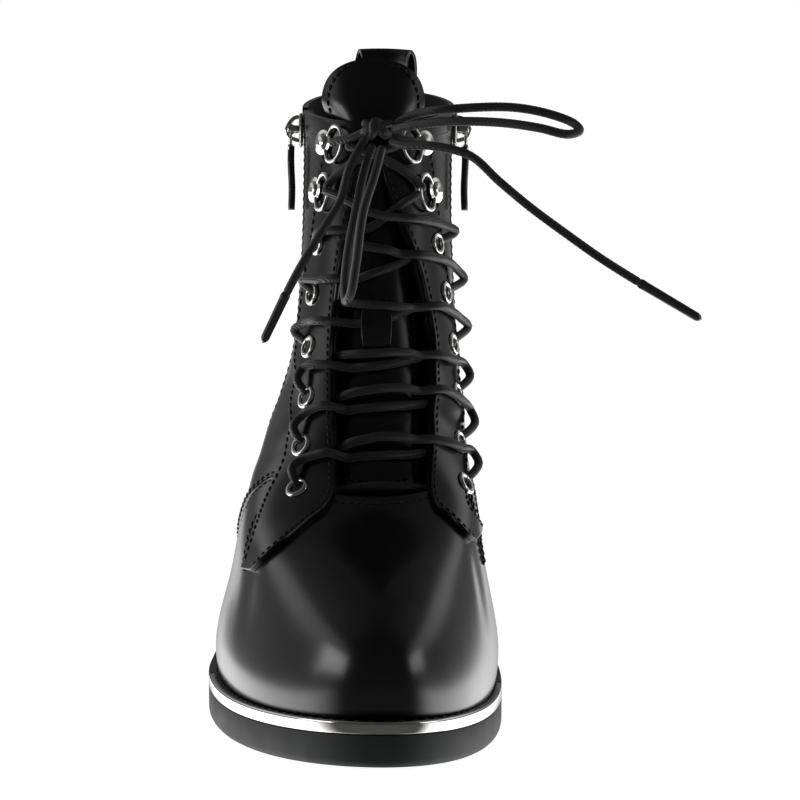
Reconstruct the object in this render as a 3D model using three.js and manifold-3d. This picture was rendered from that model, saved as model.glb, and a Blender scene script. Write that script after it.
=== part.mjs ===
// Lace-up ankle boot for the right foot, with a metal rand round the toe, eight rows of lacing and two zips.
// Millimetres, +Z up, toe towards -Y, inner (medial) side towards +X, origin under the middle of the sole.
import * as THREE from 'three';
import { mergeVertices } from 'three/addons/utils/BufferGeometryUtils.js';
import Module from 'manifold-3d';

const wasm = await Module();
wasm.setup();

// Sole sizes.
const SOLE_LENGTH = 270;
const BALL_WIDTH = 99;
const HEEL_WIDTH = 66;
const CENTRE_X = 7.5; // the heel-to-toe line lies this far to the inner side of the middle of the ball
const TOE_SWING = 3; // how much further inwards the tip of the toe lies
const SOLE_THICKNESS = 10.5;
const WAIST_THICKNESS = 7;
const WELT_THICKNESS = 4;
const WELT_WIDTH = 12;
const TOE_SPRING = 6;
const HEEL_HEIGHT = 25;
const HEEL_LENGTH = 66;
const HEEL_TAPER = 2;
const SOLE_EDGE_ROUND = 2.5;
const WAIST_EDGE_ROUND = 0.6;
const LUG_DEPTH = 2.2;
const LUG_GAP = 4;
const LUG_PITCH = 13;
const LUG_MARGIN = 11; // from the sole's edge to the first groove
const RAND_THICKNESS = 0.8;
const RAND_LIP = 2; // width of the flange on top of the rand
const RAND_LENGTH = 94; // how far back from the toe tip it reaches on the outer side
const RAND_INNER_LENGTH = 80;
const INSOLE_THICKNESS = 3;

// Upper sizes.
const COLLAR_HEIGHT = 203;
const UPPER_WALL = 2.2;
const EYESTAY_THICKNESS = 1.6;
const TONGUE_THICKNESS = 3;
const TONGUE_WIDTH = 38; // measured on the upper's outside
const TONGUE_SPREAD = 0.3; // how much wider and flatter it is over the collar, a share
const TONGUE_FLARE = 0.5; // rings over which it widens
const TONGUE_LEAN = 1.5; // how far its top stands to the outer side
const TONGUE_CORNER = 0.4; // rings from its top down to where its corners start to round
const TONGUE_RISE = 25; // above the collar's front
const TONGUE_DROP = 2; // room for the lace between facing and tongue
const KEEPER_WIDTH = 10.5;
const KEEPER_UP = 0.596; // of its lower edge, a share of the collar's height
const KEEPER_LENGTH = 18;
const KEEPER_THICKNESS = 1.2;
const LOOP_WIDTH = 21.5;
const LOOP_RISE = 18;
const LOOP_STRAP = 1.3;
const LOOP_BEND = 5; // height of the bend at its top
const LOOP_OFFSET = 2.5; // to the inner side
const LOOP_DROP = 24; // how far it is sewn down inside and outside the collar

// Small pieces.
const GAP = 0.3; // clearance between neighbours
const TRIM = 1; // how far a piece runs into its neighbour before it is trimmed
const LACE_RADIUS = 1.5;
const KNOT_WIDTH = 11;
const KNOT_DROP = 10; // below the collar
const AGLET_RADIUS = 1.9;
const AGLET_LENGTH = 20;
const EYELET_HOLE = 2;
const EYELET_BARREL = 2.6;
const EYELET_FLANGE = 4.1;
const EYELET_LIP = 0.7;
const EYELET_LIFT = 0.75; // flange over the eyestay's face, which curves
const HOOK_DISC = 3.9;
const HOOK_DOME = 2.6;
const HOOK_WIRE = 0.8;
const HOOK_SPAN = 12.5;
const HOOK_REACH = 7.5;
const HOOK_BOW = 4.9; // depth of the wire's bow
const HOOK_LIFT = 1.3;
const HOOK_RIM = 0.8;
const HOOK_SPRING = 1.6; // the lace's height over the hook's wire, which stands off the round shaft
const ZIP_SLOT = 8;
const ZIP_CHAIN = 5.4;
const ZIP_TAPE = 20;
const ZIP_TAPE_THICKNESS = 0.8;
const ZIP_TOP = 190; // along the boot from the toe tip, at the collar
const ZIP_FOOT = 160;
const ZIP_FOOT_HEIGHT = 50;
const SLIDER_DROP = 11; // below the collar
const SLIDER_WIDTH = 8;
const SLIDER_LENGTH = 11;
const SLIDER_THICKNESS = 2;
const SLIDER_LIFT = 0.6;
const EYE_HALF = 1.7; // half the width of the pull's eye
const EAR = 1.2; // thickness of the slider's ears
const PIN_RADIUS = 0.8;
const PULL_EYE = 2;
const PULL_NECK = 3.8;
const PULL_LENGTH = 29;
const PULL_WIDTH = 5;
const PULL_THICKNESS = 2.2;

// Fineness of the faceted solids.
const AROUND = 40;
const UPPER_LEVELS = 18;
const ROUND_STEPS = 8;
const EYE_SIDES = 10;
const CORD_SIDES = 8;
const CORD_STEP = 7;
const STRAND_SIDES = 6;
const SEARCH_STEPS = 24; // halvings when a place is searched

// A row is one ring of the upper, seen from the side as a line from its front point to its back point.
// front and back are shares of the sole's length from the toe, frontUp and backUp shares of the height from the
// feather edge to the collar, lateral and medial shares of the sole's half widths at the ball.
const RINGS = [
  { front: 0.0185, frontUp: 0.000, back: 0.985, backUp: 0.000, lateral: 0.940, medial: 0.948 },
  { front: 0.0140, frontUp: 0.052, back: 0.991, backUp: 0.059, lateral: 0.959, medial: 0.978 },
  { front: 0.0300, frontUp: 0.129, back: 0.993, backUp: 0.124, lateral: 0.889, medial: 0.915 },
  { front: 0.0880, frontUp: 0.184, back: 0.989, backUp: 0.190, lateral: 0.839, medial: 0.849 },
  { front: 0.1900, frontUp: 0.230, back: 0.979, backUp: 0.256, lateral: 0.790, medial: 0.797 },
  { front: 0.3250, frontUp: 0.298, back: 0.964, backUp: 0.364, lateral: 0.716, medial: 0.754 },
  { front: 0.3920, frontUp: 0.435, back: 0.952, backUp: 0.478, lateral: 0.565, medial: 0.688 },
  { front: 0.4520, frontUp: 0.583, back: 0.946, backUp: 0.610, lateral: 0.495, medial: 0.653 },
  { front: 0.5060, frontUp: 0.781, back: 0.948, backUp: 0.802, lateral: 0.467, medial: 0.627 },
  { front: 0.5460, frontUp: 0.967, back: 0.953, backUp: 1.000, lateral: 0.467, medial: 0.651 },
];
// How a ring's plan runs: where its sides are widest (shares of the ring), how blunt the front is, the half width
// of its heel as a share of the sole's, how far the round heel reaches and where the waist starts.
const PLANS = [
  { ring: 0, latAt: 0.404, medAt: 0.335, latNose: 1.2, medNose: 1.35, heel: 0.870, heelReach: 0.23, waist: 0.25 },
  { ring: 3, latAt: 0.430, medAt: 0.370, latNose: 1.2, medNose: 1.30, heel: 0.900, heelReach: 0.30, waist: 0.25 },
  { ring: 5, latAt: 0.360, medAt: 0.330, latNose: 1.6, medNose: 1.70, heel: 0.855, heelReach: 0.50, waist: 0.20 },
  { ring: 7, latAt: 0.440, medAt: 0.440, latNose: 1.6, medNose: 1.60, heel: 0.825, heelReach: 0.95, waist: 0.05 },
  { ring: 9, latAt: 0.460, medAt: 0.460, latNose: 1.5, medNose: 1.50, heel: 0.807, heelReach: 1.00, waist: 0.00 },
];
const SOLE_PLAN = { latAt: 0.407, medAt: 0.341, latNose: 1.2, medNose: 1.35, heelReach: 0.23, waist: 0.25 };
const TOP_RING = RINGS.length - 1;

// The open throat's edges, from the vamp's edge up: up is a share of the collar's height, lateral and medial are
// distances from the centre line as shares of the ball width. The last row stands over the collar.
const THROAT = [
  { up: 0.374, lateral: 0.137, medial: 0.176 },
  { up: 0.433, lateral: 0.138, medial: 0.182 },
  { up: 0.517, lateral: 0.146, medial: 0.189 },
  { up: 0.601, lateral: 0.146, medial: 0.190 },
  { up: 0.675, lateral: 0.137, medial: 0.165 },
  { up: 0.749, lateral: 0.115, medial: 0.125 },
  { up: 0.847, lateral: 0.074, medial: 0.044 },
  { up: 0.950, lateral: 0.035, medial: 0.000 },
  { up: 1.200, lateral: 0.035, medial: 0.000 },
];
// The eyestay's outer edge in the same measures, from over the collar down, then round its tab to the throat.
const EYESTAY = [
  { up: 1.200, lateral: 0.203, medial: 0.180 },
  { up: 0.990, lateral: 0.203, medial: 0.180 },
  { up: 0.890, lateral: 0.224, medial: 0.204 },
  { up: 0.770, lateral: 0.246, medial: 0.250 },
  { up: 0.680, lateral: 0.258, medial: 0.276 },
  { up: 0.590, lateral: 0.270, medial: 0.294 },
  { up: 0.510, lateral: 0.282, medial: 0.308 },
  { up: 0.440, lateral: 0.300, medial: 0.320 },
  { up: 0.400, lateral: 0.322, medial: 0.345 },
  { up: 0.372, lateral: 0.370, medial: 0.420 },
  { up: 0.250, lateral: 0.440, medial: 0.420 },
  { up: 0.245, lateral: 0.430, medial: 0.385 },
  { up: 0.293, lateral: 0.347, medial: 0.350 },
  { up: 0.330, lateral: 0.250, medial: 0.262 },
  { up: 0.357, lateral: 0.158, medial: 0.185 },
];
// The eyestay's rear edge seen from the side, along as a share of the sole's length from the toe.
const EYESTAY_BACK = [
  { up: 0.200, along: 0.310 },
  { up: 0.240, along: 0.315 },
  { up: 0.370, along: 0.395 },
  { up: 0.385, along: 0.440 },
  { up: 0.440, along: 0.481 },
  { up: 0.510, along: 0.526 },
  { up: 0.590, along: 0.563 },
  { up: 0.680, along: 0.574 },
  { up: 1.200, along: 0.585 },
];
// The lace's rows from the bottom, in the same measures; the last two rows have hooks, the others eyelets.
const LACE_ROWS = [
  { up: 0.374, lateral: 0.260, medial: 0.290, hook: false },
  { up: 0.438, lateral: 0.245, medial: 0.271, hook: false },
  { up: 0.512, lateral: 0.227, medial: 0.262, hook: false },
  { up: 0.591, lateral: 0.221, medial: 0.249, hook: false },
  { up: 0.677, lateral: 0.209, medial: 0.225, hook: false },
  { up: 0.761, lateral: 0.193, medial: 0.195, hook: false },
  { up: 0.850, lateral: 0.190, medial: 0.178, hook: true },
  { up: 0.931, lateral: 0.160, medial: 0.140, hook: true },
];

// Free lace, chosen by hand: x to the inner side, y forwards is minus, z over the middle of the knot.
const LOOP_RIGHT = [
  [13.7, 4.6, 3.3], [18, 2, 6], [23, -2, 7.8], [29, -7, 9], [52.7, -12, 10.2], [66, -15, 8],
  [74, -19, 5], [75.3, -24, 2.8], [71, -27, 2], [62, -26, 4], [49.3, -21, 5.5], [32.4, -14, 5.5],
  [20, -6.5, 3.8], [12.8, 0.2, 2],
];
const LOOP_DOWN = [
  [6.2, 0.2, -2.8], [3.4, -5, -11.5], [0.5, -11, -25], [-2.2, -15, -39], [-3.2, -18, -50],
  [-2.6, -22, -54.5], [-1, -25.5, -51.5], [0.8, -24, -41], [3, -19, -25], [6.8, -11.5, -13],
  [9.4, -3, -3.4],
];
const END_RIGHT = [
  [11.9, 2.2, -2.1], [17.5, -3, -3.2], [25.6, -8, -3], [39.2, -14, -6], [49, -17, -14.5],
  [59.4, -20, -23], [71, -21, -31.5], [83.1, -22, -40], [96.6, -22, -48.5],
];
const END_RIGHT_TIP = [117.2, -22, -60.7];
const END_LEFT = [
  [3.8, 2.5, -1], [-1.6, -6.5, -10.4], [-5, -9, -22], [-10, -11, -30], [-15, -12, -38.2],
  [-19.5, -13, -46], [-23.4, -13, -53.5],
];
const END_LEFT_TIP = [-31.2, -13, -69.7];

const KEEPER_HEIGHT = KEEPER_UP * COLLAR_HEIGHT;
const KNOT_HEIGHT = COLLAR_HEIGHT - KNOT_DROP;
const SLIDER_HEIGHT = COLLAR_HEIGHT - SLIDER_DROP;

const clamp = (x, low, high) => Math.min(Math.max(x, low), high);
const ease = (x) => { const t = clamp(x, 0, 1); return t * t * (3 - 2 * t); };
const lerp = (a, b, t) => a + (b - a) * t;
const alongY = (fromToe) => fromToe - SOLE_LENGTH / 2;

// Smooth value of a column between the rows whose key column brackets x.
function columnAt(rows, key, column, x) {
  const last = rows.length - 1;
  let i = 0;
  while (i < last - 1 && rows[i + 1][key] <= x) i++;
  const slope = (j) => {
    const a = rows[Math.max(j - 1, 0)];
    const b = rows[Math.min(j + 1, last)];
    return (b[column] - a[column]) / (b[key] - a[key]);
  };
  const width = rows[i + 1][key] - rows[i][key];
  if (x > rows[last][key]) return rows[last][column] + slope(last) * (x - rows[last][key]);
  const t = (x - rows[i][key]) / width;
  const h = [2 * t ** 3 - 3 * t ** 2 + 1, t ** 3 - 2 * t ** 2 + t, -2 * t ** 3 + 3 * t ** 2, t ** 3 - t ** 2];
  return h[0] * rows[i][column] + h[1] * width * slope(i) + h[2] * rows[i + 1][column] + h[3] * width * slope(i + 1);
}
RINGS.forEach((row, i) => { row.ring = i; });

// Round end of an outline: 0 at the tip, 1 and level at q = 1.
const roundEnd = (q, nose) => Math.sqrt(q) * (nose + (2.5 - 2 * nose) * q + (nose - 1.5) * q * q);

// Half width of a plan at share s of its length, where w is the widest half width and heel that of its heel.
function halfWidth(s, w, heel, at, nose, heelReach, waist) {
  if (s <= at) return w * roundEnd(clamp(s / at, 0, 1), nose);
  const r = clamp((1 - s) / (1 - at), 0, 1);
  return heel * roundEnd(Math.min(1, r / heelReach), Math.SQRT2) + (w - heel) * ease((r - waist) / (1 - waist));
}

// Half width of the sole at the ball, from the centre line.
const ballHalf = (lateral) => BALL_WIDTH / 2 + (lateral ? CENTRE_X : -CENTRE_X);

// Height of the tread over the floor: toe spring, flat forefoot, arch, heel.
const FLAT_FROM = 0.28;
const FLAT_TO = 0.42;
const ARCH_TO = 0.74;
function treadHeight(fromToe) {
  const share = fromToe / SOLE_LENGTH;
  if (share < FLAT_FROM) return TOE_SPRING * ((FLAT_FROM - share) / FLAT_FROM) ** 1.8;
  return HEEL_HEIGHT * ease((share - FLAT_TO) / (ARCH_TO - FLAT_TO));
}
function soleTop(fromToe) {
  const share = fromToe / SOLE_LENGTH;
  return treadHeight(fromToe) + lerp(SOLE_THICKNESS, WAIST_THICKNESS, ease((share - FLAT_TO) / (ARCH_TO - FLAT_TO)));
}
const weltTop = (fromToe) => soleTop(fromToe) + WELT_THICKNESS;
const centreLine = (fromToe) => CENTRE_X + TOE_SWING * clamp(1 - fromToe / (0.34 * SOLE_LENGTH), 0, 1) ** 1.5;

// Outline of the sole, inset all round; angle 0 is the toe, PI the heel, the outer side between them.
function solePoint(angle, inset) {
  const s = (1 - Math.cos(angle)) / 2;
  const lateral = Math.sin(angle) >= 0;
  const fromToe = inset + s * (SOLE_LENGTH - 2 * inset);
  const w = ballHalf(lateral) - inset;
  const p = SOLE_PLAN;
  const half = halfWidth(s, w, HEEL_WIDTH / 2 - inset, lateral ? p.latAt : p.medAt,
    lateral ? p.latNose : p.medNose, p.heelReach, p.waist);
  return new THREE.Vector2(centreLine(fromToe) + (lateral ? -half : half), fromToe);
}

const FEATHER_TOE = weltTop(RINGS[0].front * SOLE_LENGTH) + GAP;
const FEATHER_HEEL = weltTop(RINGS[0].back * SOLE_LENGTH) + GAP;
const FOLLOW_RINGS = 5;

// A point of the upper's form: ring counts up from the feather edge, angle as in solePoint.
function formPoint(ring, angle) {
  const row = (column) => columnAt(RINGS, 'ring', column, ring);
  const plan = (column) => columnAt(PLANS, 'ring', column, Math.min(ring, TOP_RING));
  const s = (1 - Math.cos(angle)) / 2;
  const lateral = Math.sin(angle) >= 0;
  const fromToe = lerp(row('front'), row('back'), s) * SOLE_LENGTH;
  const toeSeat = weltTop(row('front') * SOLE_LENGTH) + GAP;
  const heelSeat = weltTop(row('back') * SOLE_LENGTH) + GAP;
  const frontHeight = lerp(FEATHER_TOE, COLLAR_HEIGHT, row('frontUp'));
  const backHeight = lerp(FEATHER_HEEL, COLLAR_HEIGHT, row('backUp'));
  const follow = 1 - ease(ring / FOLLOW_RINGS); // low rings follow the sole's top line
  const sag = weltTop(fromToe) + GAP - lerp(toeSeat, heelSeat, s);
  const height = lerp(frontHeight, backHeight, s) + sag * follow - TRIM * Math.max(1 - 3 * ring, 0);
  const half = halfWidth(s, row(lateral ? 'lateral' : 'medial') * ballHalf(lateral), plan('heel') * HEEL_WIDTH / 2,
    plan(lateral ? 'latAt' : 'medAt'), plan(lateral ? 'latNose' : 'medNose'), plan('heelReach'), plan('waist'));
  return new THREE.Vector3(centreLine(fromToe) + (lateral ? -half : half), alongY(fromToe), height);
}
const TURN_STEP = 0.02; // the step in rings and angle to which slopes are taken
function formNormal(ring, angle) {
  const up = formPoint(ring + TURN_STEP, angle).sub(formPoint(Math.max(ring - TURN_STEP, 0), angle));
  const round = formPoint(ring, angle + TURN_STEP).sub(formPoint(ring, angle - TURN_STEP));
  return up.cross(round).normalize();
}
// A point off the form by a distance along its outward normal.
const offForm = (ring, angle, out) => formPoint(ring, angle).addScaledVector(formNormal(ring, angle), out);

// Solids.

// A closed solid from corner points and triangles, turned so that its faces point out.
function makeSolid(points, triangles) {
  const volume = triangles.reduce((sum, [a, b, c]) => (
    sum + points[a].dot(new THREE.Vector3().crossVectors(points[b], points[c]))), 0);
  const vertProperties = new Float32Array(points.flatMap((p) => p.toArray()));
  const triVerts = new Uint32Array(triangles.flatMap(([a, b, c]) => (volume > 0 ? [a, b, c] : [a, c, b])));
  return new wasm.Manifold(new wasm.Mesh({ numProp: 3, vertProperties, triVerts }));
}

// Side faces between rings of n points each.
function sideFaces(ringCount, n, closed) {
  const triangles = [];
  for (let i = 0; i < (closed ? ringCount : ringCount - 1); i++) {
    const a = i * n;
    const b = ((i + 1) % ringCount) * n;
    for (let j = 0; j < n; j++) {
      const k = (j + 1) % n;
      triangles.push([a + j, a + k, b + k], [a + j, b + k, b + j]);
    }
  }
  return triangles;
}
const capFaces = (triangles, last) => triangles.flatMap(([p, q, r]) => [[p, r, q], [p + last, q + last, r + last]]);

// A profile, a closed outline of [u, v] pairs, carried through the stations by place(station, u, v).
function sweep(stations, profile, place, closed = false) {
  const n = profile.length;
  const points = stations.flatMap((station) => profile.map(([u, v]) => place(station, u, v)));
  const triangles = sideFaces(stations.length, n, closed);
  if (!closed) {
    const contour = profile.map(([u, v]) => new THREE.Vector2(u, v));
    const cap = THREE.ShapeUtils.triangulateShape(contour, []);
    const area = cap.reduce((sum, face) => sum + THREE.ShapeUtils.area(face.map((i) => contour[i])), 0);
    const turned = area * THREE.ShapeUtils.area(contour) < 0;
    triangles.push(...capFaces(turned ? cap.map(([p, q, r]) => [p, r, q]) : cap, (stations.length - 1) * n));
  }
  return makeSolid(points, triangles);
}

// A solid through level outlines, each given by its point at an angle, closed by strips across from side to side.
function loft(levels) {
  const n = AROUND;
  const points = levels.flatMap((level) => around.map(level));
  const cap = [[0, 1, n - 1]];
  for (let i = 1; i < n / 2 - 1; i++) cap.push([i, i + 1, n - i - 1], [i, n - i - 1, n - i]);
  cap.push([n / 2 - 1, n / 2, n / 2 + 1]);
  return makeSolid(points, [...sideFaces(levels.length, n, false), ...capFaces(cap, (levels.length - 1) * n)]);
}
const around = Array.from({ length: AROUND }, (_, i) => (2 * Math.PI * i) / AROUND);
const steps = (from, to, count) => Array.from({ length: count + 1 }, (_, i) => lerp(from, to, i / count));

// Geometry of three as a solid and back.
function solidFrom(geometry) {
  geometry.deleteAttribute('normal');
  geometry.deleteAttribute('uv');
  const merged = mergeVertices(geometry, 1e-4);
  return new wasm.Manifold(new wasm.Mesh({
    numProp: 3,
    vertProperties: new Float32Array(merged.attributes.position.array),
    triVerts: new Uint32Array(merged.index.array),
  }));
}
function geometryFrom(solid) {
  const mesh = solid.getMesh();
  const geometry = new THREE.BufferGeometry();
  geometry.setAttribute('position', new THREE.BufferAttribute(mesh.vertProperties, mesh.numProp));
  geometry.setIndex(new THREE.BufferAttribute(mesh.triVerts, 1));
  geometry.computeVertexNormals();
  return geometry;
}
const block = (low, high) => solidFrom(new THREE.BoxGeometry(...high.map((h, i) => h - low[i]))
  .translate(...high.map((h, i) => (h + low[i]) / 2)));
const rod = (radius, length, sides = ROUND_STEPS) => solidFrom(
  new THREE.CylinderGeometry(radius, radius, length, sides));
const moved = (solid, matrix) => solidFrom(geometryFrom(solid).applyMatrix4(matrix));

// A round cord along points.
function cord(points, radius, stepLength, sides = CORD_SIDES) {
  const curve = new THREE.CatmullRomCurve3(points);
  const section = new THREE.Shape(steps(0, 2 * Math.PI, sides).slice(0, sides)
    .map((a) => new THREE.Vector2(radius * Math.cos(a), radius * Math.sin(a))));
  return solidFrom(new THREE.ExtrudeGeometry(section, {
    steps: Math.max(2, Math.ceil(curve.getLength() / stepLength)), extrudePath: curve, bevelEnabled: false,
  }));
}

// Places on the upper's form.

// The angle on a ring at a distance from the centre line, to the outer side where it is above 0.
function angleFor(ring, distance, back = false) {
  const side = distance < 0 ? -1 : 1;
  let low = back ? Math.PI : 0;
  let high = Math.PI / 2.2;
  for (let i = 0; i < SEARCH_STEPS; i++) {
    const middle = (low + high) / 2;
    if (Math.abs(formPoint(ring, side * middle).x - CENTRE_X) < Math.abs(distance)) low = middle;
    else high = middle;
  }
  return side * (low + high) / 2;
}
// Ring and angle on the front of the form at a distance from the centre line and a height.
function placeAt(distance, height) {
  let low = 0;
  let high = TOP_RING + 1;
  for (let i = 0; i < SEARCH_STEPS; i++) {
    const middle = (low + high) / 2;
    if (formPoint(middle, angleFor(middle, distance)).z < height) low = middle;
    else high = middle;
  }
  const ring = (low + high) / 2;
  return { ring, angle: angleFor(ring, distance) };
}
// Ring and angle on a side at a distance from the toe, given as a function of height.
function sidePlace(ring, side, fromToeAt) {
  let height = formPoint(ring, side * Math.PI / 2).z;
  let angle = 0;
  for (let i = 0; i < 8; i++) {
    const front = columnAt(RINGS, 'ring', 'front', ring) * SOLE_LENGTH;
    const back = columnAt(RINGS, 'ring', 'back', ring) * SOLE_LENGTH;
    angle = side * Math.acos(clamp(1 - (2 * (fromToeAt(height) - front)) / (back - front), -1, 1));
    height = formPoint(ring, angle).z;
  }
  return { ring, angle };
}
// Turn that sets a piece's X, Y and Z along across, up and out.
const turnTo = (across, up, out) => new THREE.Quaternion().setFromRotationMatrix(
  new THREE.Matrix4().makeBasis(across, up, out));

// Pieces of the sole.
const soleLevel = (inset, height) => (angle) => {
  const p = solePoint(angle, typeof inset === 'function' ? inset(angle) : inset);
  return new THREE.Vector3(p.x, alongY(p.y), height(p.y));
};
const archShare = (fromToe) => ease((fromToe / SOLE_LENGTH - FLAT_TO) / (ARCH_TO - FLAT_TO));
const edgeRound = (fromToe) => lerp(SOLE_EDGE_ROUND, WAIST_EDGE_ROUND, archShare(fromToe));
const roundAt = (share) => (angle) => edgeRound(solePoint(angle, 0).y) * share;

// Cross grooves between the lugs, from one distance from the toe to another.
function grooves(from, to, bottom) {
  const inner = loft([soleLevel(LUG_MARGIN, () => -TRIM), soleLevel(LUG_MARGIN, () => HEEL_HEIGHT)]);
  const cuts = [];
  for (let y = from; y + LUG_GAP < to; y += LUG_PITCH) {
    const top = bottom(y + LUG_GAP / 2) + LUG_DEPTH;
    cuts.push(block([-BALL_WIDTH, alongY(y), -2 * TRIM], [BALL_WIDTH, alongY(y + LUG_GAP), top]));
  }
  return wasm.Manifold.union(cuts).intersect(inner);
}
const solePlate = loft([
  soleLevel(roundAt(1), treadHeight),
  soleLevel(roundAt(0.3), (y) => treadHeight(y) + 0.3 * edgeRound(y)),
  soleLevel(0, (y) => treadHeight(y) + edgeRound(y)),
  soleLevel(0, soleTop),
]);
const outsole = () => solePlate.subtract(grooves(LUG_MARGIN + LUG_GAP, FLAT_TO * SOLE_LENGTH, treadHeight));
// What lies on a piece is trimmed by that piece, lifted by the clearance.
const lifted = (solid) => moved(solid, new THREE.Matrix4().makeTranslation(0, 0, GAP));
function heel() {
  const body = loft([
    soleLevel(HEEL_TAPER + WAIST_EDGE_ROUND, () => 0),
    soleLevel(HEEL_TAPER, () => WAIST_EDGE_ROUND),
    soleLevel(GAP, (y) => Math.max(treadHeight(y) - GAP, 2 * WAIST_EDGE_ROUND)),
  ]);
  const breast = SOLE_LENGTH - HEEL_LENGTH;
  const behind = block([-BALL_WIDTH, alongY(breast), -TRIM], [BALL_WIDTH, SOLE_LENGTH, HEEL_HEIGHT + TRIM]);
  return body.intersect(behind).subtract(grooves(breast + LUG_MARGIN, SOLE_LENGTH - LUG_MARGIN, () => 0));
}
const onSoleEdge = (angle, inset, up) => {
  const p = solePoint(angle, inset);
  return new THREE.Vector3(p.x, alongY(p.y), soleTop(p.y) + up);
};
const angleOfLength = (fromToe) => Math.acos(1 - (2 * fromToe) / SOLE_LENGTH);
// The rand's bent section, wider by a clearance and taller by a margin where it makes room in the welt.
function randSection(clear, margin) {
  const inner = RAND_THICKNESS + clear;
  const under = WELT_THICKNESS - inner;
  const top = WELT_THICKNESS + margin;
  const low = GAP - margin;
  return [[-margin, low], [inner, low], [inner, under], [RAND_LIP + clear, under], [RAND_LIP + clear, top], [-margin, top]];
}
const randAngles = (extra) => steps(
  -angleOfLength(RAND_INNER_LENGTH + extra), angleOfLength(RAND_LENGTH + extra), AROUND / 2);
const toeRand = () => sweep(randAngles(0), randSection(0, 0), onSoleEdge).subtract(lifted(solePlate));
const weltRing = sweep(around, [[0, -TRIM], [WELT_WIDTH, -TRIM], [WELT_WIDTH, WELT_THICKNESS], [0, WELT_THICKNESS]],
  onSoleEdge, true).subtract(lifted(solePlate));
const welt = () => weltRing.subtract(sweep(randAngles(GAP), randSection(GAP, TRIM), onSoleEdge));
// The insole lies on the welt inside the upper, and its thicker middle fills the ring of the welt.
function insole() {
  const edge = (up) => (angle) => {
    const p = offForm(0.1, angle, -(UPPER_WALL + 2 * GAP));
    p.z = weltTop(p.y + SOLE_LENGTH / 2) + up;
    return p;
  };
  const middle = (height) => soleLevel(WELT_WIDTH + GAP, height);
  return loft([edge(-TRIM), edge(GAP + INSOLE_THICKNESS)])
    .add(loft([middle((y) => soleTop(y) - TRIM), middle((y) => weltTop(y) + INSOLE_THICKNESS / 2)]))
    .subtract(lifted(weltRing)).subtract(lifted(solePlate));
}

// Pieces of the upper.
const upperRings = steps(0, TOP_RING, UPPER_LEVELS);
const shellProfile = (low, high) => [
  ...upperRings.map((r) => [r, high]), ...upperRings.toReversed().map((r) => [r, low])];
const onForm = (angle, ring, out) => offForm(ring, angle, out);
const rowDistance = (row, side) => side * (side > 0 ? row.lateral : row.medial) * BALL_WIDTH;
// A prism from the front of the boot into the shaft, seen from the front as an outline of [x, height] pairs.
const FRONT_DEPTH = 0.7; // how far back it reaches, a share of the sole's length
const carried = (y, x, z) => new THREE.Vector3(x, y, z);
const frontPrism = (outline) => sweep([-SOLE_LENGTH, alongY(FRONT_DEPTH * SOLE_LENGTH)], outline, carried);
const rowPoint = (row, side) => [CENTRE_X - rowDistance(row, side), row.up * COLLAR_HEIGHT];
const throatOutline = () => [
  ...THROAT.map((row) => rowPoint(row, 1)), ...THROAT.toReversed().map((row) => rowPoint(row, -1))];

const zipLine = (height) => lerp(ZIP_FOOT, ZIP_TOP, (height - ZIP_FOOT_HEIGHT) / (COLLAR_HEIGHT - ZIP_FOOT_HEIGHT));
// The ring on which the zip's line lies at a height.
function zipRing(side, height) {
  let low = 0;
  let high = TOP_RING;
  for (let i = 0; i < SEARCH_STEPS; i++) {
    const middle = (low + high) / 2;
    const place = sidePlace(middle, side, zipLine);
    if (formPoint(place.ring, place.angle).z < height) low = middle;
    else high = middle;
  }
  return low;
}
// A section of [along, out] pairs carried up the zip's line through rings.
function alongZip(side, rings, section) {
  return sweep(rings, section, (ring, across, out) => {
    const place = sidePlace(ring, side, (height) => zipLine(height) + across);
    return offForm(place.ring, place.angle, out);
  });
}
const boxSection = (half, low, high) => [[-half, low], [half, low], [half, high], [-half, high]];
const tapeSection = (half, inner, low, high) => [
  [-half, low], [-inner, low], [inner, low], [half, low], [half, high], [inner, high], [-inner, high], [-half, high]];
const ZIP_LAP = 0.3; // rings that the tape reaches below the slot
const ZIP_START = 0.1; // rings from the slot's foot to the chain, and from the chain to the collar
const zipRings = (low, high) => steps(low, high, UPPER_LEVELS / 2);
const zipSlot = (side) => alongZip(side, zipRings(zipRing(side, ZIP_FOOT_HEIGHT), TOP_RING + ZIP_LAP),
  boxSection(ZIP_SLOT / 2, -2 * UPPER_WALL, UPPER_WALL));
function zip(side) {
  const under = -(UPPER_WALL + 2 * GAP);
  const low = zipRing(side, ZIP_FOOT_HEIGHT);
  const rings = zipRings(low + ZIP_START, TOP_RING - ZIP_START);
  const tape = tapeSection(ZIP_TAPE / 2, ZIP_SLOT / 2, under - ZIP_TAPE_THICKNESS, under);
  const chain = boxSection(ZIP_CHAIN / 2, under - ZIP_TAPE_THICKNESS / 2, -GAP);
  return alongZip(side, [low - ZIP_LAP, ...rings, TOP_RING], tape).add(alongZip(side, rings, chain));
}
const rowPlace = (row, side) => placeAt(rowDistance(row, side), row.up * COLLAR_HEIGHT);
function rowFrame(row, side, out) {
  const place = rowPlace(row, side);
  const normal = formNormal(place.ring, place.angle);
  const inward = formPoint(place.ring, place.angle - side * TURN_STEP).sub(formPoint(place.ring, place.angle));
  const up = new THREE.Vector3().crossVectors(normal, inward).normalize();
  const across = new THREE.Vector3().crossVectors(up, normal);
  return { point: offForm(place.ring, place.angle, out), across, up, out: normal };
}
const VAMP_EDGE = THROAT[0].up * COLLAR_HEIGHT;
const FACE = GAP + EYESTAY_THICKNESS; // height of the eyestay's face over the upper
const eyeletRows = LACE_ROWS.filter((row) => !row.hook);
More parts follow.
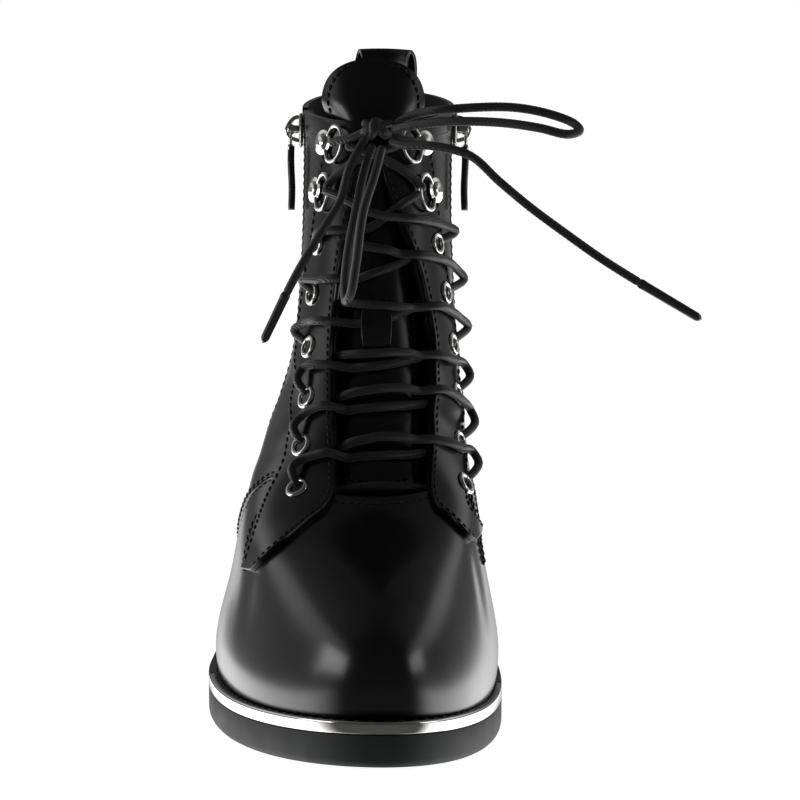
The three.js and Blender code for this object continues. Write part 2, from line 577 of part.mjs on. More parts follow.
function holes(side) {
  return wasm.Manifold.union(eyeletRows.map((row) => {
    const frame = rowFrame(row, side, 0);
    const matrix = new THREE.Matrix4().makeBasis(frame.across, frame.out, frame.up.negate());
    matrix.setPosition(frame.point);
    return moved(rod(EYELET_BARREL + GAP, 4 * (UPPER_WALL + EYESTAY_THICKNESS), ROUND_STEPS), matrix);
  }));
}
function upper() {
  const shell = sweep(around, shellProfile(-UPPER_WALL, 0), onForm, true);
  const cuts = [lifted(weltRing), frontPrism(throatOutline()), zipSlot(1), zipSlot(-1), holes(1), holes(-1)];
  return cuts.reduce((solid, cut) => solid.subtract(cut), shell);
}
function eyestay(side) {
  const outline = [...THROAT.map((row) => rowPoint(row, side)), ...EYESTAY.map((row) => rowPoint(row, side))];
  const shell = sweep(around, shellProfile(GAP, FACE), onForm, true);
  const seenFromSide = [...EYESTAY_BACK.map((row) => [row.along, row.up]), [0, 1.2], [0, EYESTAY_BACK[0].up]]
    .map(([along, up]) => [alongY(along * SOLE_LENGTH), up * COLLAR_HEIGHT]);
  const room = sweep([-BALL_WIDTH, BALL_WIDTH], seenFromSide, (x, y, z) => new THREE.Vector3(x, y, z));
  return shell.intersect(frontPrism(outline)).intersect(room).subtract(holes(side));
}
// The tongue starts under the vamp's edge and sinks below the facings to leave room for the lace.
const TONGUE_LAP = 10;
const tongueLow = placeAt(0, VAMP_EDGE - TONGUE_LAP).ring;
const tongueTop = placeAt(0, formPoint(TOP_RING, 0).z + TONGUE_RISE).ring;
const throatRing = placeAt(0, VAMP_EDGE).ring;
const TONGUE_DIP = 0.6; // rings over which it sinks, before and behind the vamp's edge
const tongueFace = (ring) => (
  -(UPPER_WALL + 2 * GAP + TONGUE_DROP * ease((ring - throatRing) / TONGUE_DIP + TONGUE_DIP)));
const tongueFlare = (ring) => ease((ring - TOP_RING + TONGUE_FLARE / 2) / TONGUE_FLARE);
const tongueHalf = (ring) => {
  const tip = clamp((ring - (tongueTop - TONGUE_CORNER)) / TONGUE_CORNER, 0, 0.98);
  return (TONGUE_WIDTH / 2) * Math.sqrt(1 - tip ** 8);
};
function tonguePoint(ring, w, out) {
  const point = offForm(ring, angleFor(ring, w * tongueHalf(ring)), tongueFace(ring) + out);
  const flare = tongueFlare(ring);
  point.x += (point.x - CENTRE_X) * TONGUE_SPREAD * flare - TONGUE_LEAN * flare;
  return point;
}
function tongue() {
  const across = steps(-1, 1, 6);
  const profile = [...across.map((w) => [w, 0]), ...across.toReversed().map((w) => [w, -TONGUE_THICKNESS])];
  const corner = tongueTop - TONGUE_CORNER;
  const rings = [...steps(tongueLow, corner, 12), ...steps(lerp(corner, tongueTop, 0.4), tongueTop, 3)];
  return sweep(rings, profile, tonguePoint);
}
// The keeper bridges the lace on the tongue, sewn down at both ends.
function keeper() {
  const up = steps(0, 1, 8);
  const rise = (t) => GAP + (2 * LACE_RADIUS + 6 * GAP) * Math.sin(Math.PI * t) ** 0.6;
  const profile = [...up.map((t) => [t, rise(t)]), ...up.toReversed().map((t) => [t, rise(t) + KEEPER_THICKNESS])];
  return sweep(steps(-KEEPER_WIDTH / 2, KEEPER_WIDTH / 2, 4), profile, (distance, t, out) => {
    const place = placeAt(distance, KEEPER_HEIGHT + KEEPER_LENGTH * t);
    return offForm(place.ring, place.angle, tongueFace(place.ring) + out);
  });
}
// The pull loop, a strap from outside the collar's back over to its inside, as [height over the collar, out] pairs.
function pullLoop() {
  const inner = -(UPPER_WALL + GAP);
  const middle = (GAP + inner) / 2;
  const bend = LOOP_RISE - LOOP_BEND;
  const line = (spread, top) => [
    [-LOOP_DROP, GAP + spread], [0, GAP + spread], [bend, GAP + spread],
    [top - LOOP_STRAP, (GAP + middle + spread) / 2], [top, middle], [top - LOOP_STRAP, (inner + middle - spread) / 2],
    [bend, inner - spread], [0, inner - spread], [-LOOP_DROP, inner - spread],
  ];
  const profile = [...line(LOOP_STRAP, LOOP_RISE), ...line(0, LOOP_RISE - LOOP_STRAP).toReversed()];
  const ringRise = formPoint(TOP_RING, Math.PI).z - formPoint(TOP_RING - 1, Math.PI).z;
  return sweep(steps(-LOOP_WIDTH / 2, LOOP_WIDTH / 2, 6), profile, (distance, height, out) => {
    const ring = TOP_RING + height / ringRise;
    return offForm(ring, angleFor(ring, distance - LOOP_OFFSET, true), out);
  });
}

// Metal pieces, each made upright at the origin: X across, Y up, Z out.
function eyelet() {
  const profile = [[EYELET_HOLE, -(UPPER_WALL + FACE)], [EYELET_BARREL, -(UPPER_WALL + FACE)], [EYELET_BARREL, 0],
    [EYELET_FLANGE, 0], [EYELET_HOLE, EYELET_LIP]];
  const ring = profile.concat([profile[0]]).map(([r, z]) => new THREE.Vector2(r, z));
  return solidFrom(new THREE.LatheGeometry(ring, ROUND_STEPS).rotateX(Math.PI / 2));
}
function hook() {
  const dome = [[0, 0], [HOOK_DISC, 0], [HOOK_DISC, HOOK_RIM], [HOOK_DISC * 0.72, HOOK_DOME * 0.7],
    [HOOK_DISC * 0.35, HOOK_DOME], [0, HOOK_DOME]].map(([r, z]) => new THREE.Vector2(r, z));
  const bow = steps(-Math.PI / 2, Math.PI / 2, 6).map((a) => new THREE.Vector3(
    HOOK_REACH - HOOK_BOW * (1 - Math.cos(a)), (HOOK_SPAN / 2) * Math.sin(a), HOOK_LIFT));
  const ends = [-1, 1].map((s) => new THREE.Vector3(0, s * HOOK_DISC * 0.55, HOOK_LIFT));
  return solidFrom(new THREE.LatheGeometry(dome, ROUND_STEPS).rotateX(Math.PI / 2))
    .add(cord([ends[0], ...bow, ends[1]], HOOK_WIRE, 3.6, STRAND_SIDES));
}
// Slider and pull share the pin's height over the slider's plate.
const PIN_OUT = SLIDER_THICKNESS + PULL_EYE + GAP;
function slider() {
  const corner = [SLIDER_WIDTH / 2, SLIDER_LENGTH / 2];
  const plate = block([...corner.map((x) => -x), 0], [...corner, SLIDER_THICKNESS]);
  const ears = [-1, 1].map((s) => block(
    [Math.min(s * (EYE_HALF + GAP), s * (EYE_HALF + GAP + EAR)), -EAR, SLIDER_THICKNESS / 2],
    [Math.max(s * (EYE_HALF + GAP), s * (EYE_HALF + GAP + EAR)), EAR, PIN_OUT + EAR]));
  const pin = moved(rod(PIN_RADIUS, 2 * (EYE_HALF + GAP) + EAR),
    new THREE.Matrix4().makeRotationZ(Math.PI / 2).setPosition(0, 0, PIN_OUT));
  return wasm.Manifold.union([plate, ...ears, pin]);
}
// The pull turns about its own origin, where the slider's pin is.
function pull() {
  const lying = new THREE.Matrix4().makeRotationZ(Math.PI / 2);
  const eye = moved(rod(PULL_EYE, 2 * EYE_HALF, EYE_SIDES), lying)
    .add(block([-EYE_HALF, -PULL_NECK - TRIM, -PULL_THICKNESS / 2], [EYE_HALF, 0, PULL_THICKNESS / 2]));
  const [wide, thick] = [PULL_WIDTH / 2, PULL_THICKNESS / 2];
  const tab = block([-wide, -PULL_LENGTH, -thick], [wide, -PULL_NECK, thick]);
  return eye.add(tab).subtract(moved(rod(PIN_RADIUS + GAP, 4 * EYE_HALF, EYE_SIDES), lying));
}
function zipFrame(side) {
  const ring = zipRing(side, SLIDER_HEIGHT);
  const at = sidePlace(ring, side, zipLine);
  const above = sidePlace(ring + 0.1, side, zipLine);
  const out = formNormal(at.ring, at.angle);
  const line = formPoint(above.ring, above.angle).sub(formPoint(at.ring, at.angle));
  const across = new THREE.Vector3().crossVectors(line, out).normalize();
  const up = new THREE.Vector3().crossVectors(out, across);
  return { point: offForm(at.ring, at.angle, SLIDER_LIFT), across, up, out };
}

const KNOT_SHAPE = [1, 0.7, 0.85];
const KNOT_REACH = (KNOT_WIDTH / 2 + HOOK_BOW + 2 * GAP) / BALL_WIDTH;
// The lowest, straight strand lies a share of the collar's height over its eyelets, and off the bend of the facings.
const BAR_RISE = 0.025;
const BAR_LIFT = 0.8;
const bar = { ...LACE_ROWS[0], up: LACE_ROWS[0].up + BAR_RISE };
// The lace's strands run from a row on one side to the next row on the other, over the facings and down on the tongue.
const rowLift = (row) => FACE + LACE_RADIUS + 4 * GAP
  + (row.hook ? HOOK_LIFT + HOOK_WIRE + HOOK_SPRING : EYELET_LIFT + EYELET_LIP) + (row === bar ? BAR_LIFT : 0);
const laceDistance = (row, side) => rowDistance(row, side) - (row.hook ? side * HOOK_BOW : 0);
function throatEdge(height, side) {
  const rows = THROAT.map((row) => ({ up: row.up, edge: (side > 0 ? row.lateral : row.medial) * BALL_WIDTH }));
  return columnAt(rows, 'up', 'edge', clamp(height / COLLAR_HEIGHT, THROAT[0].up, 1));
}
function strand(fromRow, fromSide, toRow, toSide) {
  const points = steps(0, 1, 10).map((t) => {
    const distance = lerp(laceDistance(fromRow, fromSide), laceDistance(toRow, toSide), t);
    const height = lerp(fromRow.up, toRow.up, t) * COLLAR_HEIGHT;
    const place = placeAt(distance, height);
    const edge = throatEdge(height, Math.sign(distance) || 1);
    const rest = tongueFace(place.ring) + LACE_RADIUS + 3 * GAP;
    const over = lerp(rowLift(fromRow), rowLift(toRow), t);
    const low = lerp(over, rest, clamp((edge - KEEPER_WIDTH) / 3, 0, 1)); // no dip where the facings nearly meet
    const inside = (edge - Math.abs(distance) - 1.6 * LACE_RADIUS) / (2.4 * LACE_RADIUS);
    return offForm(place.ring, place.angle, lerp(over, low, ease(inside)));
  });
  return cord(points, LACE_RADIUS, 5 * LACE_RADIUS, STRAND_SIDES);
}
function crossings() {
  const strands = [strand(bar, 1, bar, -1)];
  for (let i = 0; i + 1 < LACE_ROWS.length; i++) {
    for (const side of [1, -1]) strands.push(strand(LACE_ROWS[i], side, LACE_ROWS[i + 1], -side));
  }
  const last = LACE_ROWS[LACE_ROWS.length - 1];
  const knotRow = { up: KNOT_HEIGHT / COLLAR_HEIGHT, lateral: KNOT_REACH, medial: KNOT_REACH, hook: true };
  for (const side of [1, -1]) strands.push(strand(last, side, knotRow, side));
  return wasm.Manifold.union(strands);
}
const knotPlace = placeAt(0, KNOT_HEIGHT);
const knotPoint = offForm(knotPlace.ring, 0, FACE + 2 * GAP + KNOT_WIDTH * KNOT_SHAPE[2] / 2);
const knot = () => solidFrom(new THREE.SphereGeometry(KNOT_WIDTH / 2, ROUND_STEPS, 6).scale(...KNOT_SHAPE));
const overKnot = ([x, y, z]) => new THREE.Vector3(x, y, z + KNOT_HEIGHT);
const freeLace = (list) => cord(list.map(overKnot), LACE_RADIUS, CORD_STEP);
// A metal tip on the end of the lace, from the lace's last point towards a tip.
function aglet(list, tip) {
  const from = overKnot(list[list.length - 1]);
  const to = overKnot(tip);
  const way = to.clone().sub(from).normalize();
  const start = from.clone().addScaledVector(way, GAP);
  return cord([start, from.clone().lerp(to, 0.5), to], AGLET_RADIUS, AGLET_LENGTH / 2);
}

// Finishes.
const finish = (color, roughness, metalness) => new THREE.MeshStandardMaterial({ color, roughness, metalness });
const LEATHER = finish(0x121213, 0.28, 0);
const LINING = finish(0x2a2a2b, 0.7, 0);
const RUBBER = finish(0x252527, 0.8, 0);
const WELT_BLACK = finish(0x161617, 0.55, 0);
const STEEL = finish(0xd0d0d2, 0.18, 1);
const GUNMETAL = finish(0x2b2b2d, 0.35, 1);
const TAPE = finish(0x151516, 0.85, 0);
const CORD_BLACK = finish(0x0e0e0f, 0.6, 0);

const boot = new THREE.Group();
function add(name, solid, material, frame) {
  const mesh = new THREE.Mesh(geometryFrom(solid), material);
  mesh.name = name;
  if (frame) {
    mesh.position.copy(frame.point);
    mesh.quaternion.copy(turnTo(frame.across, frame.up, frame.out));
  }
  boot.add(mesh);
}
add('outsole', outsole(), RUBBER);
add('heel', heel(), RUBBER);
add('welt', welt(), WELT_BLACK);
add('toe_rand', toeRand(), STEEL);
add('insole', insole(), LINING);
add('upper', upper(), LEATHER);
add('tongue', tongue(), LEATHER);
add('lace_keeper', keeper(), LEATHER);
add('pull_loop', pullLoop(), LEATHER);
for (const [name, side] of [['lateral', 1], ['medial', -1]]) {
  add(`eyestay_${name}`, eyestay(side), LEATHER);
  add(`zip_${name}`, zip(side), TAPE);
  const frame = zipFrame(side);
  add(`slider_${name}`, slider(), STEEL, frame);
  const pin = frame.point.clone().addScaledVector(frame.out, PIN_OUT);
  const lean = Math.atan2(Math.min(frame.out.z, 0), frame.up.z); // hangs plumb where the wall leans over
  const up = frame.up.clone().multiplyScalar(Math.cos(lean)).addScaledVector(frame.out, Math.sin(lean));
  const out = new THREE.Vector3().crossVectors(frame.across, up);
  add(`pull_${name}`, pull(), LEATHER, { point: pin, across: frame.across, up, out });
  LACE_ROWS.forEach((row, i) => {
    const seat = rowFrame(row, side, FACE + GAP);
    if (row.hook) add(`hook_${name}_${i + 1}`, hook(), STEEL, seat);
    else add(`eyelet_${name}_${i + 1}`, eyelet(), STEEL, rowFrame(row, side, FACE + EYELET_LIFT));
  });
}
add('lace_crossings', crossings(), CORD_BLACK);
const [right, forwards, upwards] = [[1, 0, 0], [0, -1, 0], [0, 0, 1]].map((way) => new THREE.Vector3(...way));
add('lace_knot', knot(), CORD_BLACK, { point: knotPoint, across: right, up: upwards, out: forwards });
add('lace_loop_right', freeLace(LOOP_RIGHT), CORD_BLACK);
add('lace_loop_down', freeLace(LOOP_DOWN), CORD_BLACK);
add('lace_end_right', freeLace(END_RIGHT), CORD_BLACK);
add('lace_end_left', freeLace(END_LEFT), CORD_BLACK);
add('aglet_right', aglet(END_RIGHT, END_RIGHT_TIP), GUNMETAL);
add('aglet_left', aglet(END_LEFT, END_LEFT_TIP), GUNMETAL);

export default boot;
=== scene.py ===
"""Looks of a lace-up ankle boot for the right foot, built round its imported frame."""
import math

import bpy
import bmesh
import numpy as np
from mathutils import Matrix, Vector


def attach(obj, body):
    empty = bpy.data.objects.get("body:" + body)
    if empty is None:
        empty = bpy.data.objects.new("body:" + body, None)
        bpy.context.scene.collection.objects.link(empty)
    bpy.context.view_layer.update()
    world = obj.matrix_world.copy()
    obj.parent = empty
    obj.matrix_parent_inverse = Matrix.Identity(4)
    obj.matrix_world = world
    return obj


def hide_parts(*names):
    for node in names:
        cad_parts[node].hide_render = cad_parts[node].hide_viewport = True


bl_info = {
    "name": "Lace-up ankle boot",
    "version": (1, 0, 0),
    "blender": (4, 5, 0),
    "location": "3D View > Sidebar > Boot",
    "description": "Builds the leather, sole, zips and lace of an ankle boot on its frame",
    "category": "Add Mesh",
}

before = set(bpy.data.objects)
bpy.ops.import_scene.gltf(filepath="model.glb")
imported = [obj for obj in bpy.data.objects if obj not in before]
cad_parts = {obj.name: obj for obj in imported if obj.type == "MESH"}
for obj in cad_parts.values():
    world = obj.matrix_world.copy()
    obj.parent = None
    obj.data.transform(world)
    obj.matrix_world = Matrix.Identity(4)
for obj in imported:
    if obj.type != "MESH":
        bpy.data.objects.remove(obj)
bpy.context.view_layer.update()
MM = 0.001
BOOT = "boot"
SIDES = (("lateral", 1), ("medial", -1))

# Sizes of the frame, in millimetres.
SOLE_LENGTH = 270
BALL_WIDTH = 99
HEEL_WIDTH = 66
CENTRE_X = 7.5
TOE_SWING = 3
SOLE_THICKNESS = 10.5
WAIST_THICKNESS = 7
WELT_THICKNESS = 4
WELT_WIDTH = 12
TOE_SPRING = 6
HEEL_HEIGHT = 25
HEEL_LENGTH = 66
HEEL_TAPER = 2
RAND_LENGTH = 94
RAND_INNER_LENGTH = 80
COLLAR_HEIGHT = 203
UPPER_WALL = 2.2
EYESTAY_THICKNESS = 1.6
TONGUE_THICKNESS = 3
TONGUE_WIDTH = 38
TONGUE_SPREAD = 0.3
TONGUE_FLARE = 0.5
TONGUE_LEAN = 1.5
TONGUE_CORNER = 0.75
TONGUE_RISE = 23
TONGUE_DROP = 2
TONGUE_LAP = 10
KEEPER_WIDTH = 10.5
KEEPER_HEIGHT = 121
KEEPER_LENGTH = 18
LOOP_WIDTH = 20
LOOP_RISE = 15.8
LOOP_DROP = 24
LOOP_OFFSET = 2.5
GAP = 0.3
FACE = GAP + EYESTAY_THICKNESS
HOOK_REACH = 7.5
ZIP_SLOT = 8
ZIP_TOP = 190
ZIP_FOOT = 160
ZIP_FOOT_HEIGHT = 50
SLIDER_HEIGHT = 192
PIN_OUT = 4.3
# The grooves between the lugs.
GROOVE_WIDTH = 4
GROOVE_DEPTH = 2.2
GROOVE_PITCH = 13
# The camera looks at this point of the boot, in metres, through this lens, in millimetres.
CAMERA_TARGET = (0.0155, -0.038, 0.1072)
CAMERA_LENS = 148.5
SENSOR_WIDTH = 36
# The floor's half width and how far it lies under the sole, in metres.
FLOOR_REACH = 6.0
FLOOR_DROP = 0.0002
# How strongly the studio shines from the sides, the floor, the horizon and behind the camera.
SIDE_GLOW = 0.85
FLOOR_GLOW = 3.0
HORIZON_GLOW = 0.2
FRONT_GLOW = 0.1

# Rings of the upper's form, from the feather edge to the collar.
# Columns: front, frontUp, back, backUp, lateral, medial.
RINGS = np.array([
    [0.0185, 0.000, 0.985, 0.000, 0.940, 0.948],
    [0.0140, 0.052, 0.991, 0.059, 0.959, 0.978],
    [0.0300, 0.129, 0.993, 0.124, 0.889, 0.915],
    [0.0880, 0.184, 0.989, 0.190, 0.839, 0.849],
    [0.1900, 0.230, 0.979, 0.256, 0.790, 0.797],
    [0.3250, 0.298, 0.964, 0.364, 0.716, 0.754],
    [0.3920, 0.435, 0.952, 0.478, 0.565, 0.688],
    [0.4520, 0.583, 0.946, 0.610, 0.495, 0.653],
    [0.5060, 0.781, 0.948, 0.802, 0.467, 0.627],
    [0.5460, 0.967, 0.953, 1.000, 0.467, 0.651],
])
# The plan shapes of some of the rings. Columns: latAt, medAt, latNose, medNose, heel, heelReach, waist.
PLAN_RINGS = (0, 3, 5, 7, 9)
PLANS = np.array([
    [0.404, 0.335, 1.2, 1.35, 0.870, 0.23, 0.25],
    [0.430, 0.370, 1.2, 1.30, 0.900, 0.30, 0.25],
    [0.360, 0.330, 1.6, 1.70, 0.855, 0.50, 0.20],
    [0.440, 0.440, 1.6, 1.60, 0.825, 0.95, 0.05],
    [0.460, 0.460, 1.5, 1.50, 0.807, 1.00, 0.00],
])
TOP = len(RINGS) - 1

# The throat's edges: height as a share of the collar's, distances from the centre line as shares of the ball width.
THROAT = np.array([
    [0.374, 0.137, 0.176], [0.433, 0.138, 0.182], [0.517, 0.146, 0.189], [0.601, 0.146, 0.190],
    [0.675, 0.137, 0.165], [0.749, 0.115, 0.125], [0.847, 0.074, 0.044], [0.950, 0.035, 0.004],
    [1.000, 0.035, 0.004],
])
# Rows across each eyestay: height and distance on its throat side, then height, distance and distance from the toe
# on its outer side, which stops at whichever of the two comes first.
EYESTAY = {
    1: np.array([
        [0.950, 0.035, 0.965, 0.200, 0.579], [0.900, 0.050, 0.915, 0.214, 0.578], [0.847, 0.074, 0.860, 0.229, 0.577],
        [0.749, 0.115, 0.770, 0.246, 0.576], [0.675, 0.137, 0.680, 0.258, 0.574], [0.601, 0.146, 0.590, 0.270, 0.563],
        [0.517, 0.146, 0.510, 0.283, 0.526], [0.433, 0.138, 0.440, 0.300, 0.481], [0.392, 0.138, 0.405, 0.320, 0.455],
        [0.372, 0.143, 0.385, 0.340, 0.432], [0.354, 0.170, 0.365, 0.362, 0.405], [0.340, 0.215, 0.340, 0.385, 0.380],
        [0.322, 0.270, 0.312, 0.403, 0.358], [0.296, 0.340, 0.283, 0.421, 0.338], [0.262, 0.404, 0.256, 0.437, 0.321],
    ]),
    -1: np.array([
        [0.950, 0.004, 0.965, 0.180, 0.579], [0.900, 0.018, 0.915, 0.196, 0.578], [0.847, 0.044, 0.860, 0.214, 0.577],
        [0.749, 0.125, 0.770, 0.250, 0.576], [0.675, 0.165, 0.680, 0.276, 0.574], [0.601, 0.190, 0.590, 0.294, 0.563],
        [0.517, 0.189, 0.510, 0.308, 0.526], [0.433, 0.182, 0.440, 0.320, 0.481], [0.392, 0.178, 0.405, 0.345, 0.455],
        [0.372, 0.182, 0.385, 0.385, 0.432], [0.354, 0.200, 0.365, 0.420, 0.405], [0.340, 0.240, 0.340, 0.420, 0.380],
        [0.320, 0.285, 0.312, 0.440, 0.405], [0.300, 0.322, 0.300, 0.450, 0.398],
    ]),
}
# Lace rows: height, distance on the outer side, distance on the inner side; the last two have hooks.
LACE_ROWS = np.array([
    [0.374, 0.260, 0.290], [0.438, 0.245, 0.271], [0.512, 0.227, 0.262], [0.591, 0.221, 0.249],
    [0.677, 0.209, 0.225], [0.761, 0.193, 0.195], [0.850, 0.190, 0.178], [0.931, 0.160, 0.140],
])
HOOK_ROW = 6
# How each strand runs from its hole towards the next hole over: shares of the way across and up.
STRANDS = {
    (0, -1): [(-0.03, 0.54), (0.08, 0.92), (0.22, 1.23), (0.49, 1.41), (0.73, 1.23)],
    (0, 1): [(0.00, 0.30), (0.03, 0.55), (0.12, 0.76), (0.29, 0.94), (0.55, 1.02), (0.75, 1.0)],
    (1, -1): [(-0.05, 0.41), (0.08, 1.05), (0.38, 1.36), (0.73, 1.25)],
    (1, 1): [(0.00, 0.42), (0.07, 0.71), (0.21, 0.90), (0.54, 1.04), (0.78, 1.02)],
    (2, -1): [(-0.035, 0.43), (0.06, 0.70), (0.20, 0.93), (0.38, 1.04), (0.75, 1.0)],
    (2, 1): [(-0.01, 0.48), (0.07, 0.63), (0.29, 0.78), (0.54, 0.85), (0.78, 0.92)],
    (3, -1): [(-0.05, 0.26), (0.03, 0.59), (0.14, 0.78), (0.37, 0.87), (0.75, 0.95)],
    (3, 1): [(-0.05, 0.31), (0.06, 0.47), (0.25, 0.58), (0.45, 0.63), (0.78, 0.82)],
    (4, -1): [(-0.08, 0.19), (0.02, 0.61), (0.18, 0.78), (0.43, 0.97), (0.75, 1.06)],
    (4, 1): [(-0.03, 0.20), (0.08, 0.29), (0.25, 0.39), (0.46, 0.55), (0.78, 0.75)],
    (5, -1): [(-0.10, 0.19), (0.03, 0.375), (0.30, 0.52), (0.61, 0.62), (0.85, 0.86)],
    (5, 1): [(0.02, 0.12), (0.18, 0.26), (0.46, 0.39), (0.69, 0.59), (0.88, 0.85)],
    (6, -1): [(0.05, 0.15), (0.18, 0.38), (0.45, 0.66), (0.75, 0.85)],
    (6, 1): [(0.08, 0.28), (0.25, 0.52), (0.45, 0.72), (0.75, 0.88)],
}

# Free lace, as in the frame: x to the inner side, y forwards is minus, z up.
KNOT = (7.5, 4.3, 195.1)
LOOP_RIGHT = [
    (13.7, 4.6, 196.3), (18, 2, 199), (23, -2, 200.8), (29, -7, 202), (52.7, -12, 203.2), (66, -15, 201),
    (74, -19, 198), (75.3, -24, 195.8), (71, -27, 195), (62, -26, 197), (49.3, -21, 198.5), (32.4, -14, 198.5),
    (20, -6.5, 196.8), (12.8, 0.2, 195),
]
LOOP_DOWN = [
    (6.2, 0.2, 190.2), (3.4, -5, 181.5), (0.5, -11, 168), (-2.2, -15, 154), (-3.2, -18, 143), (-2.6, -22, 138.5),
    (-1, -25.5, 141.5), (0.8, -24, 152), (3, -19, 168), (6.8, -11.5, 180), (9.4, -3, 189.6),
]
END_RIGHT = [
    (11.9, 2.2, 190.9), (17.5, -3, 189.8), (25.6, -8, 190), (39.2, -14, 187), (49, -17, 178.5), (59.4, -20, 170),
    (71, -21, 161.5), (83.1, -22, 153), (96.6, -22, 144.5),
]
END_RIGHT_TIP = (117.2, -22, 132.3)
END_LEFT = [
    (3.8, 2.5, 192), (-1.6, -6.5, 182.6), (-5, -9, 171), (-10, -11, 163), (-15, -12, 154.8), (-19.5, -13, 147),
    (-23.4, -13, 139.5),
]
END_LEFT_TIP = (-31.2, -13, 123.3)


class BootSettings(bpy.types.PropertyGroup):
    """Sizes and colours of the boot's looks."""
    leather_color: bpy.props.FloatVectorProperty(
        name="Leather", description="Colour of the leather", subtype="COLOR", size=3, min=0, max=1,
        default=(0.0032, 0.0033, 0.0035))
    leather_roughness: bpy.props.FloatProperty(
        name="Leather roughness", description="0 is a mirror, 1 is matt", subtype="FACTOR", min=0, max=1, default=0.22)
    lining_color: bpy.props.FloatVectorProperty(
        name="Lining", description="Colour of the lining", subtype="COLOR", size=3, min=0, max=1,
        default=(0.02, 0.02, 0.021))
    rubber_color: bpy.props.FloatVectorProperty(
        name="Rubber", description="Colour of the outsole", subtype="COLOR", size=3, min=0, max=1,
        default=(0.012, 0.0135, 0.0145))
    metal_color: bpy.props.FloatVectorProperty(
        name="Metal", description="Colour of rand, eyelets and zips", subtype="COLOR", size=3, min=0, max=1,
        default=(0.78, 0.77, 0.75))
    lace_diameter: bpy.props.FloatProperty(
        name="Lace diameter", description="Thickness of the round lace", unit="LENGTH", min=0.001, max=0.006,
        default=0.003)
    stitch_length: bpy.props.FloatProperty(
        name="Stitch length", description="Length of one stitch", unit="LENGTH", min=0.001, max=0.006, default=0.0021)
    stitch_pitch: bpy.props.FloatProperty(
        name="Stitch pitch", description="Distance from stitch to stitch", unit="LENGTH", min=0.001, max=0.01,
        default=0.0028)
    tooth_pitch: bpy.props.FloatProperty(
        name="Zip tooth pitch", description="Distance between teeth of one side", unit="LENGTH", min=0.001, max=0.006,
        default=0.0024)
    camera_distance: bpy.props.FloatProperty(
        name="Camera distance", description="From camera to the boot's middle", unit="LENGTH", min=0.3, max=5,
        default=1.1)
    camera_elevation: bpy.props.FloatProperty(
        name="Camera elevation", description="Angle over the floor", subtype="ANGLE", min=0, max=1.5,
        default=math.radians(8))
    light_strength: bpy.props.FloatProperty(
        name="Light strength", description="Scales all lights", min=0, max=10, default=1.0)


def settings():
    return bpy.context.scene.boot_looks


# Form of the boot, the same as the frame's. Arrays in, arrays out.

def spline_slopes(keys, rows):
    """Slopes at the rows that make the curve through them bend smoothly, with straight ends."""
    n = len(keys)
    system = np.zeros((n, n))
    right = np.zeros(rows.shape)
    step = np.diff(keys)
    system[0, :2] = 2, 1
    system[-1, -2:] = 1, 2
    right[0] = 3 * (rows[1] - rows[0]) / step[0]
    right[-1] = 3 * (rows[-1] - rows[-2]) / step[-1]
    for i in range(1, n - 1):
        a, b = step[i - 1], step[i]
        system[i, i - 1:i + 2] = b, 2 * (a + b), a
        right[i] = 3 * (b * (rows[i] - rows[i - 1]) / a + a * (rows[i + 1] - rows[i]) / b)
    return np.linalg.solve(system, right)


def between(keys, rows, x, slopes=None):
    """Rows of a table at key values x, as an array with one more axis for the columns."""
    keys = np.asarray(keys, float)
    x = np.asarray(x, float)
    slopes = spline_slopes(keys, rows) if slopes is None else slopes
    i = np.clip(np.searchsorted(keys, x, side="right") - 1, 0, len(keys) - 2)
    width = keys[i + 1] - keys[i]
    t = ((x - keys[i]) / width)[..., None]
    inner = ((2 * t**3 - 3 * t**2 + 1) * rows[i] + (t**3 - 2 * t**2 + t) * width[..., None] * slopes[i]
             + (3 * t**2 - 2 * t**3) * rows[i + 1] + (t**3 - t**2) * width[..., None] * slopes[i + 1])
    over = np.maximum(x - keys[-1], 0)[..., None]
    return np.where(over > 0, rows[-1] + slopes[-1] * over, inner)


RING_SLOPES = spline_slopes(np.arange(len(RINGS)), RINGS)
PLAN_SLOPES = spline_slopes(np.array(PLAN_RINGS, float), PLANS)


def ease(x):
    t = np.clip(x, 0, 1)
    return t * t * (3 - 2 * t)


def lerp(a, b, t):
    return a + (b - a) * t


def round_end(q, nose):
    return np.sqrt(q) * (nose + (2.5 - 2 * nose) * q + (nose - 1.5) * q * q)


def half_width(s, widest, heel, at, nose, reach, waist):
    fore = widest * round_end(np.clip(s / at, 0, 1), nose)
    rest = np.clip((1 - s) / (1 - at), 0, 1)
    rear = heel * round_end(np.minimum(1, rest / reach), math.sqrt(2))
    rear = rear + (widest - heel) * ease((rest - waist) / (1 - waist))
    return np.where(s <= at, fore, rear)


def tread_height(along):
    share = np.asarray(along, float) / SOLE_LENGTH
    toe = TOE_SPRING * np.clip((0.28 - share) / 0.28, 0, None) ** 1.8
    return np.where(share < 0.28, toe, HEEL_HEIGHT * ease((share - 0.42) / 0.32))


def sole_top(along):
    share = np.asarray(along, float) / SOLE_LENGTH
    return tread_height(along) + lerp(SOLE_THICKNESS, WAIST_THICKNESS, ease((share - 0.42) / 0.32))


def welt_top(along):
    return sole_top(along) + WELT_THICKNESS


def centre_line(along):
    return CENTRE_X + TOE_SWING * np.clip(1 - along / (0.34 * SOLE_LENGTH), 0, 1) ** 1.5


def ball_half(outer):
    return BALL_WIDTH / 2 + np.where(outer, CENTRE_X, -CENTRE_X)


